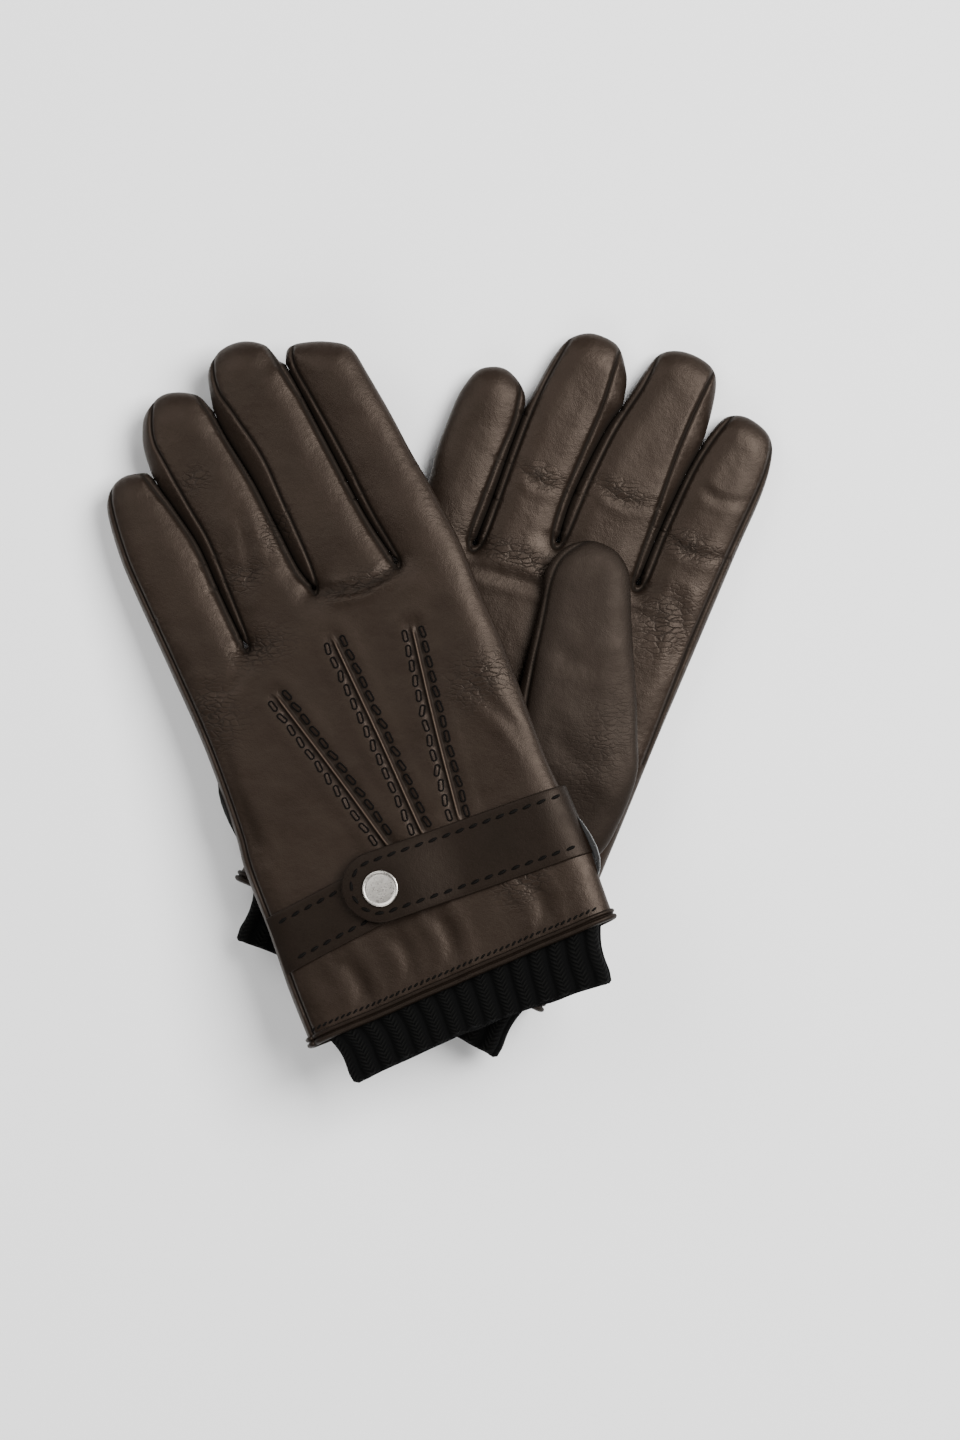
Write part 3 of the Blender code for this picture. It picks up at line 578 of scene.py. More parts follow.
PALM_FOLDS = [
    [(-46, 126), (-20, 132), (10, 136), 0.6, 1.8],
    [(-8, 142), (14, 137), (40, 140), 0.55, 1.6],
    [(-30, 112), (-12, 96), (-4, 74), 0.6, 2.2],
    [(30, 168), (42, 166), (54, 169), 0.5, 1.5],
    [(2, 176), (12, 173), (23, 176), 0.45, 1.5],
    [(-26, 170), (-16, 167), (-8, 170), 0.45, 1.5],
    [(33, 190), (43, 187), (54, 190), 0.35, 1.4],
    [(44, 150), (50, 140), (53, 126), 0.5, 2.0],
    [(-40, 60), (-20, 52), (0, 56), 0.4, 2.2],
]
WAVES = ((34.0, 0.55), (15.0, 0.26), (7.0, 0.1))


def waves(points, seed):
    """Slow undulation of the leather at each point."""
    found = np.zeros(len(points))
    for length, height in WAVES:
        found += [height * noise.noise((x / length, y / length, seed)) for x, y in points]
    return found


def bell(gap, width):
    """1 at no gap, falling smoothly to 0 over about twice the width."""
    return np.exp(-((gap / width) ** 2))


def end_fade(points, path, reach):
    """1 beside the middle of a path, falling to 0 within reach of its ends."""
    ends = np.minimum(*(np.linalg.norm(points - path[end], axis=1) for end in (0, -1)))
    return np.clip(ends / reach, 0, 1)


def round_edge(depth, radius):
    """A quarter circle's rise, from 0 at the edge to 1 at the radius."""
    return np.sqrt(1 - (1 - np.clip(depth / radius, 0, 1)) ** 2)


def fold(points, crease):
    """A soft fold: a valley with a low swell beside it, fading to its ends."""
    *line, depth, width = crease
    line = smooth(line, 1.5)
    gap = distance_to(points, line)
    swell = 0.45 * bell(gap - 2.4 * width, width)
    return end_fade(points, line, FOLD_END_FADE) * depth * (swell - bell(gap, width))


def along_tuck(points, line):
    """Each point's distance to a tuck, and the tuck's fade towards its ends."""
    path = smooth(line, 1.0)
    return distance_to(points, path), end_fade(points, path, TUCK_END_FADE)


def tucks(points):
    """The three points sewn on the back of the hand: a ridge, a groove on each side and a low swell."""
    found = np.zeros(len(points))
    for line in TUCKS:
        gap, fade = along_tuck(points, line)
        ridge, groove, swell = 0.85 * bell(gap, 0.5), 0.7 * bell(gap - 1.35, 0.6), 0.3 * bell(gap - 5.5, 2.5)
        found += np.where(gap < 12, ridge * fade - groove * fade + swell * fade, 0)
    return found


def leather_height(hand, points, back):
    """How far the leather stands off the glove's middle at each point, on its back or its palm."""
    depth = distance_to(points, SILHOUETTES[hand])
    height = HAND_DEPTH * round_edge(depth, EDGE_RADIUS)
    inner = np.clip(depth / 6.0, 0, 1)
    under_straps = back * np.clip(1 - np.abs(points[:, 1] - 37) / 20, 0, 1)
    wavy = waves(points, (3.0 if back else 11.0) + (0 if hand == "left" else 20.0))
    height += wavy * inner * (1 - 0.9 * under_straps)
    for crease in BACK_FOLDS if back else PALM_FOLDS:
        height += fold(points, crease) * inner
    if back:
        height += tucks(points)
    for crease in CREASES[hand]:
        gap = distance_to(points, crease)
        close = np.clip(height / 3.0, 0, 1)
        height -= close * GROOVE_DEPTH * bell(gap, GROOVE_WIDTH)
        height += close * 0.22 * bell(gap - 1.5, 0.9)
    return np.maximum(height, 0)


def leather_tone(hand, points, back):
    """Below zero where shade is painted, in seam grooves, slots, a fold and beside the tucks, and above it
    where a highlight is painted on the tuck ridges.
    """
    found = np.zeros(len(points))
    for crease in CREASES[hand]:
        # painted shade in the seam grooves
        found = np.minimum(found, -bell(distance_to(points, crease), 0.5))
    slots = np.full(len(points), np.inf)
    for slot in PLANS[hand]["slots"]:
        slots = np.minimum(slots, distance_to(points, smooth(slot, 1.5)))
    # painted shade down the slots between the fingers
    found = np.minimum(found, -0.95 * bell(slots, 1.3))
    if back:
        pucker = distance_to(points, smooth(BACK_FOLDS[0][:3], 1.5))
        # painted shade along the valley of the fold across the knuckles
        found = np.minimum(found, -0.7 * bell(pucker, 0.8))
        for line in TUCKS:
            gap, fade = along_tuck(points, line)
            # painted highlight on each tuck's ridge and painted shade in the grooves beside it
            found += fade * (0.7 * bell(gap, 0.3) - bell(gap - 1.0, 0.45))
    return np.clip(found, -1, 1)


CRINKLES = {
    True: [(-15, 158, 9, 5), (-19, 132, 12, 6), (22, 139, 15, 4), (48, 92, 12, 9), (2, 168, 6, 8),
           (-42, 118, 9, 12), (34, 22, 10, 7), (-18, 196, 5, 4)],
    False: [(-8, 141, 26, 5), (40, 168, 13, 5), (12, 176, 10, 4), (-16, 170, 9, 4), (44, 140, 10, 12),
            (-30, 96, 12, 14)],
}


def spot_at(points, x, y, wide, tall):
    """A soft spot, given by its middle and its reach across X and Y."""
    return np.exp(-(((points[:, 0] - x) / wide) ** 2 + ((points[:, 1] - y) / tall) ** 2))


def leather_crinkle(points, back):
    """How strongly the leather is crinkled at each point: the strongest of its spots."""
    return np.max([spot_at(points, *spot) for spot in CRINKLES[back]], axis=0)


# %% Outlines, creases and silhouettes of both gloves
FINGERS = ("index", "middle", "ring", "little")
SPLIT_BEFORE_BEND = 8.0
OUTLINES, CREASES, SILHOUETTES = {}, {}, {}
for hand in HANDS:
    plan = PLANS[hand]
    OUTLINES[hand] = outline_of(plan)
    CREASES[hand] = [smooth(line, 1.2) for line in (*plan["valleys"], plan["side_seam"])]
    line = OUTLINES[hand][len(hem_of(plan)) :]
    # past the hem the cuff stays open, so the round edge runs straight on below it
    last = OUTLINES[hand][:1]
    SILHOUETTES[hand] = np.vstack([line[:1] - (0, 60), line, last, last - (0, 60)])


def bend_of(hand, finger):
    """The finger's joint in the plan: its hinge's place and the direction of the finger past it."""
    joint = joints[f"{hand}_{finger}_finger_bend"]
    to_plan = LIE[hand].inverted()
    place = to_plan @ Vector(joint["pos_m"])
    axis = (to_plan.to_3x3() @ Vector(joint["axis"])).normalized()
    along = np.array([-axis.y, axis.x])
    along *= np.sign(along[1])
    return np.array([place.x, place.y]), along


def split_line(hand, finger):
    """The line across a finger where the skin of its tip starts."""
    place, along = bend_of(hand, finger)
    place = place - along * SPLIT_BEFORE_BEND
    across = np.array([along[1], -along[0]])
    return np.array([place - across * 19, place + across * 19]), place, along


def finger_at(hand, points):
    """Which finger each point belongs to: the number of slots on its index side."""
    found = np.zeros(len(points), int)
    for slot in PLANS[hand]["slots"]:
        line = smooth(slot, 2.0)[::-1]
        found += points[:, 0] < np.interp(points[:, 1], line[:, 1], line[:, 0])
    return found


# %% [markdown]
# One triangulation serves both sides: the back takes each point up and the palm takes it down, and they
# share the points of the outline, so the skin closes there by itself. It is then cut across each finger
# just before its joint. The cut pieces keep the whole skin's normals, so at rest no line shows.

# %% Building the skin
def linked(name, data):
    """A new object in the scene."""
    made = bpy.data.objects.new(name, data)
    bpy.context.scene.collection.objects.link(made)
    return made


def piece_from(name, bm, finish):
    """A smooth piece from a bmesh, with its faces outwards."""
    bmesh.ops.recalc_face_normals(bm, faces=bm.faces)
    mesh = bpy.data.meshes.new(name)
    bm.to_mesh(mesh)
    bm.free()
    mesh.materials.append(finish)
    mesh.shade_smooth()
    return linked(name, mesh)


def tell(title, pieces):
    """Prints the number of faces of each piece."""
    print(title, {piece.name: len(piece.data.polygons) for piece in pieces})


def mesh_object(name, points, faces, finish, hand, normals=None, tone=None, crinkle=None):
    """An object from pattern points in millimetres, laid on its glove, with its normals outwards."""
    mesh = bpy.data.meshes.new(name)
    flip = LIE[hand].determinant() < 0
    places = np.column_stack([points, np.ones(len(points))]) @ np.array(LIE[hand]).T
    faces = [tuple(int(i) for i in (face[::-1] if flip else face)) for face in faces]
    mesh.from_pydata(places[:, :3].tolist(), [], faces)
    mesh.materials.append(finish)
    mesh.shade_smooth()
    for layer, values in (("tone", tone), ("crinkle", crinkle)):
        if values is not None:
            mesh.attributes.new(layer, "FLOAT", "POINT").data.foreach_set("value", values.astype(np.float32))
    if normals is not None:
        turn = np.array(LIE[hand].to_3x3()) / MM
        mesh.normals_split_custom_set_from_vertices((normals @ turn.T).tolist())
    return linked(name, mesh)


def vertex_normals(points, faces):
    """Area-weighted normals of a triangle mesh."""
    a, b, c = (points[faces[:, i]] for i in range(3))
    each = np.cross(b - a, c - a)
    found = np.zeros_like(points)
    for i in range(3):
        np.add.at(found, faces[:, i], each)
    return found / np.maximum(np.linalg.norm(found, axis=1), 1e-12)[:, None]


def cushion(flat, faces, rim, top, bottom):
    """A closed skin from a plan: its back at top, its palm at bottom, joined round the rim."""
    count = len(flat)
    lower = np.arange(count)
    free = ~rim
    lower[free] = count + np.arange(free.sum())
    points = np.vstack([np.column_stack([flat, top]), np.column_stack([flat, bottom])[free]])
    return points, np.vstack([faces, lower[faces][:, ::-1]])


def pick(points, faces, keep, *layers):
    """The part of a skin whose faces are kept, and the same part of each layer of values."""
    faces = faces[keep]
    used = np.unique(faces)
    renumber = np.full(len(points), -1)
    renumber[used] = np.arange(len(used))
    return points[used], renumber[faces], *(layer[used] for layer in layers)


def make_skin(hand):
    """The glove's leather: one piece for the hand and one for each finger past its joint."""
    splits = {finger: split_line(hand, finger) for finger in FINGERS}
    cuts = [smooth(line, 1.5) for line, _, _ in splits.values()]
    tuck_lines = [smooth(line, 1.2) for line in TUCKS]
    flat, faces, rim = triangulate(OUTLINES[hand], CREASES[hand] + tuck_lines + cuts)
    hem = rim & (flat[:, 1] < 0.5) & (np.abs(flat[:, 0]) < 57.2)
    top = leather_height(hand, flat, True)
    bottom = -leather_height(hand, flat, False)
    closed = rim & ~hem
    top[closed] = bottom[closed] = 0
    points, skin = cushion(flat, faces, closed, top, bottom)
    tone = np.concatenate([leather_tone(hand, flat, True), leather_tone(hand, flat[~closed], False)])
    crinkle = np.concatenate([leather_crinkle(flat, True), leather_crinkle(flat[~closed], False)])
    normals = vertex_normals(points, skin)
    centres = points[skin].mean(1)[:, :2]
    finger = finger_at(hand, centres)
    piece = np.full(len(skin), -1)
    for number, name in enumerate(FINGERS):
        _, place, along = splits[name]
        piece[(finger == number) & ((centres - place) @ along > 0)] = number
    made = {}
    for number, name in ((-1, "hand"), *enumerate(FINGERS)):
        part = pick(points, skin, piece == number, normals, tone, crinkle)
        made[name] = mesh_object(f"{hand}_{name}_skin", part[0], part[1], leather, hand, *part[2:])
    return made


skins = {}
for hand in HANDS:
    skins[hand] = make_skin(hand)
    tell("skins", skins[hand].values())

# %% [markdown]
# ## Thumb
# The thumb is a cushion of its own that lies folded over the palm. It is made in the same way, from one
# outline, and towards its root it sinks to the palm, where it is sewn in.

# %% The thumbs
THUMB_OUTLINE = [(4, 110), (0.8, 130), (-1.9, 139.5), (-0.6, 147), (2.8, 152.2), (8.5, 155.9), (15.6, 156.4),
                 (21.2, 154.2), (25.8, 149.4), (31.8, 137), (37.9, 124.8), (44.3, 112.6), (50.2, 100),
                 (55.4, 87.5), (56.4, 71), (54, 56), (42, 48), (27, 52), (15, 68), (8, 88), (4, 110)]
THUMB_SEAM = [(12, 88), (7.6, 106), (4, 124), (1.4, 136), (1.2, 144.5), (4, 151), (9.6, 157.5)]
THUMB_FOLDS = [
    [(10, 118), (20, 114), (30, 117), 0.25, 2.6],
    [(22, 90), (34, 84), (48, 88), 0.35, 3.2],
    [(36, 120), (44, 100), (50, 84), 0.4, 3.0],
]
THUMB_DEPTH, THUMB_INNER_DEPTH = 4.4, 3.4
THUMB_EDGE = 10.0
THUMB_SEEDS = {"left": 44.0, "right": 45.0}
THUMB_SINK = 3.4
# painted shade over the whole thumb, as a share of the near-black tone
THUMB_PAINTED_SHADE = -0.35


def make_thumb(hand):
    """One thumb: round outside, flat against the palm."""
    outline = smooth(THUMB_OUTLINE, 1.3)[:0:-1]
    seam = smooth(THUMB_SEAM, 1.2)
    flat, faces, rim = triangulate(outline, [seam], spacing=1.5)
    depth = distance_to(flat, np.vstack([outline, outline[:1]]))
    edge, inner = round_edge(depth, THUMB_EDGE), np.clip(depth / 5, 0, 1)
    out = THUMB_DEPTH * edge + waves(flat, THUMB_SEEDS[hand]) * inner
    for crease in THUMB_FOLDS:
        out += fold(flat, crease) * inner
    gap = distance_to(flat, seam)
    out -= np.clip(out / 3, 0, 1) * GROOVE_DEPTH * bell(gap, GROOVE_WIDTH)
    sink = np.clip((92 - flat[:, 1]) / 40, 0, 1)
    level = THUMB_LEVEL + THUMB_SINK * sink**2 * (3 - 2 * sink)
    top, bottom = level + THUMB_INNER_DEPTH * edge, level - np.maximum(out, 0)
    top[rim] = bottom[rim] = level[rim]
    points, skin = cushion(flat, faces, rim, top, bottom)
    # painted shade: the whole thumb is darkened, and its seam groove more
    tone = np.minimum(-bell(gap, 0.5), THUMB_PAINTED_SHADE)
    tone = np.concatenate([np.full(len(flat), THUMB_PAINTED_SHADE), tone[~rim]])
    crinkle = 0.55 * spot_at(flat, 40, 92, 10, 22)
    crinkle = np.concatenate([crinkle, crinkle[~rim]])
    return mesh_object(f"{hand}_thumb_skin", points, skin, leather, hand, tone=tone, crinkle=crinkle)


thumbs = {hand: make_thumb(hand) for hand in HANDS}
tell("thumbs", thumbs.values())

# %% [markdown]
# ## Bands
# Binding, cuff and straps are all bands: a grid bent into place and welded where it meets itself. The grid
# comes from create_grid, and one function gives each of its points a place on the glove.

# %% Bending a grid
WELD = 0.00001


def bent_grid(name, along, across, place, finish, hand, measure=None):
    """A grid with each point at place(u, v) in the pattern, welded where it closes."""
    bm = bmesh.new()
    bmesh.ops.create_grid(bm, x_segments=along, y_segments=across, size=0.5)
    chart = bm.loops.layers.uv.new("UVMap")
    for face in bm.faces:
        for corner in face.loops:
            u, v = corner.vert.co.x + 0.5, corner.vert.co.y + 0.5
            corner[chart].uv = measure(u, v) if measure else (u, v)
    for vert in bm.verts:
        vert.co = on_glove(hand, place(min(max(vert.co.x + 0.5, 0), 1), min(max(vert.co.y + 0.5, 0), 1)))
    bmesh.ops.remove_doubles(bm, verts=bm.verts, dist=WELD)
    return piece_from(name, bm, finish)


def on_line(line, share):
    """The point at a share of a line's length, and the line's direction there."""
    step = np.linalg.norm(np.diff(line, axis=0), axis=1)
    run = np.concatenate([[0], np.cumsum(step)])
    at = share * run[-1]
    i = min(int(np.searchsorted(run, at, side="right")) - 1, len(line) - 2)
    t = (at - run[i]) / max(step[i], 1e-9)
    return line[i] + (line[i + 1] - line[i]) * t, (line[i + 1] - line[i]) / max(step[i], 1e-9), run[-1]


# %% [markdown]
# The hem is bound with a folded strip, which shows as two thin rolls. Its path is the glove's own mouth.

# %% Hem binding
BINDING_PROFILE = [(-0.9, 0.4), (-0.7, 1.9), (0.0, 2.5), (0.85, 2.3), (1.2, 1.65), (0.85, 1.05), (0.15, 0.72),
                   (0.9, 0.4), (1.3, -0.3), (0.95, -1.0), (0.0, -1.4), (-0.7, -1.1), (-0.9, 0.4)]


def mouth_of(hand, y=0.6, count=90):
    """The glove's mouth across X and W: along the back from the little finger's side, then the palm."""
    left, right = PLANS[hand]["little_side"][-1][0], PLANS[hand]["index_side"][0][0]
    turn = np.linspace(0, math.pi, count)
    x = (left + right) / 2 - (right - left) / 2 * np.cos(turn) * 0.9995
    flat = np.column_stack([x, np.full(count, y)])
    back = np.column_stack([x, leather_height(hand, flat, True)])
    palm = np.column_stack([x, -leather_height(hand, flat, False)])[::-1]
    return np.vstack([back, palm[1:-1], back[:1]])


def make_binding(hand):
    """The folded binding round the mouth."""
    mouth, profile = mouth_of(hand), smooth(BINDING_PROFILE, 0.35)

    def place(u, v):
        middle, step, _ = on_line(mouth, u % 1.0)
        (out, y), _, _ = on_line(profile, v % 1.0)
        wobble = 0.12 * noise.noise((middle[0] / 6, y / 3, middle[1]))
        return (middle[0] - step[1] * (out + wobble), y + 0.25 * noise.noise((middle[0] / 18, 0, 5)),
                middle[1] + step[0] * (out + wobble))

    return bent_grid(f"{hand}_hem_binding_skin", 260, 30, place, strap_leather, hand)


bindings = {hand: make_binding(hand) for hand in HANDS}
tell("bindings", bindings.values())

# %% [markdown]
# The cuff is a double rib knit. Its ribs are real relief, and the V stitches sit on them in the finish.

# %% Rib-knit cuff
RIB_PITCH = 6.6
RIB_HEIGHT = 1.0
CUFF_WALL = 1.5
CUFF_DEPTH, CUFF_RIB_DEPTH = 4.0, 3.6
CUFF_PINCH, CUFF_SAG = 1.3, 2.3
CUFF_FOLD_START = 0.96
CUFFS = {
    "left": {"corners": ((-46.5, -18.6), (48.5, -20.8)), "top": (-49.6, 53.2)},
    "right": {"corners": ((-49.5, -20.4), (49.4, -22.2)), "top": (-51.5, 52.5)},
}
CUFF_TOP = 9.0


def stadium(half_wide, half_deep, share):
    """A point and its outward direction round a flat tube, and the tube's girth."""
    flat = half_wide - half_deep
    girth = 4 * flat + 2 * math.pi * half_deep
    at = share % 1.0 * girth
    if at < 2 * flat:
        return (-flat + at, half_deep), (0, 1), girth
    at -= 2 * flat
    if at < math.pi * half_deep:
        turn = math.pi / 2 - at / half_deep
        way = (math.cos(turn), math.sin(turn))
        return (flat + half_deep * way[0], half_deep * way[1]), way, girth
    at -= math.pi * half_deep
    if at < 2 * flat:
        return (flat - at, -half_deep), (0, -1), girth
    turn = -math.pi / 2 - (at - 2 * flat) / half_deep
    way = (math.cos(turn), math.sin(turn))
    return (-flat + half_deep * way[0], half_deep * way[1]), way, girth


def make_cuff(hand):
    """The knitted cuff: a flat ribbed tube, folded double at its end."""
    (x0, y0), (x1, y1) = CUFFS[hand]["corners"]
    top_left, top_right = CUFFS[hand]["top"]
    girth = stadium((x1 - x0) / 2, CUFF_RIB_DEPTH, 0)[2]
    ribs = round(girth / RIB_PITCH)

    def place(u, v):
        down = 1 - abs(2 * v - 1)
        outer = v < 0.5
        fall = min(down * 1.02, 1.0)
        ease = min(max((fall - 0.30) / 0.7, 0), 1)
        pinch = math.sin(min(ease * 1.25, 1) * math.pi) * CUFF_PINCH
        left = top_left + (x0 - top_left) * ease + pinch
        right = top_right + (x1 - top_right) * ease - pinch
        deep = CUFF_DEPTH - 0.2 * ease + 0.5 * ease * math.sin(u * 4 * math.pi + 1)
        (x, w), way, _ = stadium((right - left) / 2, deep, u)
        rib = RIB_HEIGHT * (abs(math.sin(math.pi * ribs * u)) ** 0.7 - 0.5) if outer else 0
        out = rib + 0.1 if outer else -CUFF_WALL
        out += (0.15 - CUFF_WALL / 2 - out) * max(down - CUFF_FOLD_START, 0) / 0.04
        low = y0 + (y1 - y0) * min(max((x + (left + right) / 2 - x0) / (x1 - x0), 0), 1)
        low += CUFF_SAG * math.cos(math.pi * x / (right - left)) + 0.5 * noise.noise((x / 11, w, 2.0))
        y = CUFF_TOP + (low - CUFF_TOP) * fall
        lean = 0.8 * noise.noise((x / 16, y / 9, 8 + w * 0.2)) * ease
        return ((left + right) / 2 + x + way[0] * out, y, w + way[1] * out + lean)

    def measure(u, v):
        return (u * ribs * STITCH_WIDE, (1 - abs(2 * v - 1)) * 0.030)

    return bent_grid(f"{hand}_knit_cuff_skin", ribs * 12, 44, place, knit, hand, measure)


cuffs = {hand: make_cuff(hand) for hand in HANDS}
tell("cuffs", cuffs.values())

# %% [markdown]
# Each strap follows the glove: over the back, and the long one round the index side to the palm. Its path is
# a line across X and W, a little off the leather, and it climbs over the snap.

# %% Straps
SNAP = (-11.1, 38.8)
STRAP_OFF = 0.35
SNAP_LIFT = 3.45
STRAPS = {
    "strap": {"half": 12.6, "thick": 1.15, "start": -24.2, "middle": (39.6, -0.066), "lift": SNAP_LIFT},
    "under_strap": {"half": 10.3, "thick": 0.8, "start": -0.5, "middle": (38.4, 0.075), "lift": 0.35},
}
STRAP_UNDER = 9.0


def strap_path(hand, kind):
    """The strap's line across X and W, from its round end to where it is sewn in."""
    index_edge = float(np.interp(36, *np.array(PLANS[hand]["index_side"][:5]).T[::-1]))
    if kind == "under_strap":
        x = np.linspace(STRAPS[kind]["start"], -52.6, 60)
        return np.column_stack([x, HAND_DEPTH * round_edge(x + 56, EDGE_RADIUS) + 0.1])
    turn = np.linspace(0, math.pi / 2, 24)
    flat = np.linspace(STRAPS[kind]["start"], index_edge - EDGE_RADIUS, 60)[:-1]
    over = np.column_stack([index_edge - EDGE_RADIUS * (1 - np.sin(turn)), HAND_DEPTH * np.cos(turn)])
    under = over[::-1][1:] * (1, -1)
    under = under[under[:, 0] > index_edge - STRAP_UNDER]
    return np.vstack([np.column_stack([flat, np.full(len(flat), HAND_DEPTH)]), over, under])


def strap_place(hand, kind):
    """A function from (length along, distance across, height) to a place on the strap."""
    line, facts = strap_path(hand, kind), STRAPS[kind]
    girth = on_line(line, 0)[2]
    side = 1 if kind == "strap" else -1

    def place(length, across, height):
        (x, w), step, _ = on_line(line, min(max(length / girth, 0), 1))
        out = (-step[1] * side, step[0] * side)
        middle = facts["middle"][0] + facts["middle"][1] * (min(x, 60) + 10)
        y = middle + across
        gap = math.hypot(x - SNAP[0], y - SNAP[1])
        rise = min(max(1 - (gap - 7) / 24, 0), 1)
        rise = rise * rise * (3 - 2 * rise) * facts["lift"] * (1 if out[1] > 0 else 0)
        off = STRAP_OFF + height
        return (x + out[0] * off, y, w + out[1] * off + rise)

    return place, girth


def make_strap(hand, kind):
    """A strap with a round end and softly rounded edges."""
    place, girth = strap_place(hand, kind)
    half, thick = STRAPS[kind]["half"], STRAPS[kind]["thick"]
    edge = [(-1, 0.5), (-0.985, 0.85), (-0.95, 1.0), (-0.7, 0.98), (0, 1.0), (0.7, 0.98), (0.95, 1.0),
            (0.985, 0.85), (1, 0.5), (0.985, 0.1), (0.95, 0), (0, 0), (-0.95, 0), (-0.985, 0.1), (-1, 0.5)]
    edge = smooth(edge, 0.09)

    def bend(u, v):
        ease = 1 - math.cos(u * math.pi / 2) if u < 1 else 1
        length = girth * (0.55 * ease + 0.45 * u * u) if u < 1 else girth
        wide = half * math.sqrt(max(1 - (1 - min(length / half, 1)) ** 2, 0))
        (across, height), _, _ = on_line(edge, v % 1.0)
        close = min(wide / 1.5, 1)
        return place(length, across * wide, thick * (0.5 + (height - 0.5) * close))

    return bent_grid(f"{hand}_{kind}_skin", 90, 60, bend, strap_leather, hand)


straps = {(hand, kind): make_strap(hand, kind) for hand in HANDS for kind in STRAPS}
tell("straps", straps.values())

# %% [markdown]
# ## Stitching
# Running stitches are short fat dashes that sink into the leather at both ends, so each is a small stretched
# sphere along its row. The points on the back carry hand-sewn loops, each a small bent ring of thread.

# %% Rows of stitches
def even_points(line, pitch):
    """Places and directions at an even pitch along a line of points."""
    line = np.array(line, float)
    total = on_line(line, 0)[2]
    return [on_line(line, (i + 0.5) * pitch / total)[:2] for i in range(int(total / pitch))]


def lay_frame(place, along, up):
    """A matrix at a place with X along and Z up."""
    along = along.normalized()
    across = up.cross(along).normalized()
    return Matrix.Translation(place) @ Matrix((along, across, along.cross(across))).transposed().to_4x4()


def dash(bm, where, long, thick):
    """One running stitch."""
    spread = Matrix.Diagonal((long / 2, thick / 2, thick * 0.45, 1))
    bmesh.ops.create_uvsphere(bm, u_segments=8, v_segments=6, radius=1,
                              matrix=where @ spread @ Matrix.Rotation(math.pi / 2, 4, "Y"))


def ring(bm, where, long, wide, thick):
    """One loop of thread: a small circle spun to a ring, whose halves are then moved apart."""
    before = len(bm.verts)
    stand = Matrix.Translation((wide / 2, 0, 0)) @ Matrix.Rotation(math.pi / 2, 4, "X")
    start = Matrix.Rotation(math.pi / 12, 4, "Z") @ stand
    made = bmesh.ops.create_circle(bm, segments=6, radius=thick / 2, matrix=start)["verts"]
    edges = list({edge for vert in made for edge in vert.link_edges})
    bmesh.ops.spin(bm, geom=made + edges, cent=(0, 0, 0), axis=(0, 0, 1), angle=2 * math.pi, steps=12,
                   use_merge=True)
    bm.verts.ensure_lookup_table()
    for vert in bm.verts[before:]:
        vert.co = where @ (vert.co + Vector((math.copysign((long - wide) / 2, vert.co.x), 0, 0)))


def stitch_frame(hand, place, ahead, aside, back=True):
    """A matrix for a stitch on the back or the palm, from its own pattern point, one ahead and one aside."""
    here, there, next_to = (on_glove(hand, p) for p in (place, ahead, aside))
    up = (there - here).cross(next_to - here)
    outwards = LIE[hand].to_3x3() @ Vector((0, 0, 1 if back else -1))
    return lay_frame(here, there - here, up if up.dot(outwards) > 0 else -up)


# %% Strap stitches
STRAP_INSET = 3.4
STRAP_STITCH = (3.5, 1.25)
STRAP_STITCH_PITCH = 4.9
STITCH_SLANT = 0.16


def strap_stitches(hand, kind):
    """The row that runs along both edges of a strap and round its end."""
    place, girth = strap_place(hand, kind)
    half, thick = STRAPS[kind]["half"], STRAPS[kind]["thick"]
    reach = half - STRAP_INSET
    turn = np.linspace(math.pi / 2, 3 * math.pi / 2, 24)
    end = girth - (14 if kind == "strap" else 3)
    row = [(end, reach), *((half + reach * math.cos(a), reach * math.sin(a)) for a in turn), (end, -reach)]
    bm = bmesh.new()
    for (length, across), step in even_points(row, STRAP_STITCH_PITCH):
        step = step + STITCH_SLANT * np.array([-step[1], step[0]]) * (1 if kind == "strap" else -1)
        ahead = place(length + step[0] * 0.5, across + step[1] * 0.5, thick)
        aside = place(length - step[1] * 0.5, across + step[0] * 0.5, thick)
        where = stitch_frame(hand, place(length, across, thick - 0.05), ahead, aside)
        dash(bm, where, STRAP_STITCH[0] * MM, STRAP_STITCH[1] * MM)
    return piece_from(f"{hand}_{kind}_stitches", bm, thread)


strap_rows = {(hand, kind): strap_stitches(hand, kind) for hand in HANDS for kind in STRAPS}
tell("strap stitches", strap_rows.values())

# %% Stitches on the leather
LOOP = (3.9, 1.6, 0.62)
LOOP_PITCH = 5.3
LOOP_OFF = 3.1
HEM_STITCH = (2.2, 0.8)
HEM_PITCH = 2.3
HEM_ROW = 4.0
HAND_SEWN = 0.5


def on_leather(hand, flat, back, off=0.0):
    """Pattern places on the leather for points of the plan."""
    flat = np.array(flat, float)
    height = leather_height(hand, flat, back) + off
    return np.column_stack([flat, height if back else -height])


def leather_row(bm, hand, line, pitch, back, draw, slant=0.0, off=0.0):
    """Draws one stitch at each place of a row on the leather."""
    spots = even_points(line, pitch)
    here = np.array([place for place, _ in spots])
    step = np.array([way for _, way in spots])
    uneven = slant + HAND_SEWN * np.array([noise.noise((x / 2, y / 2, 1.0)) for x, y in here])
    step = step + uneven[:, None] * np.column_stack([-step[:, 1], step[:, 0]])
    side = np.column_stack([-step[:, 1], step[:, 0]])
    three = [on_leather(hand, here + shift * 0.8, back, off) for shift in (0, step, side)]
    for place, ahead, aside in zip(*three):
        draw(bm, stitch_frame(hand, place, ahead, aside, back))


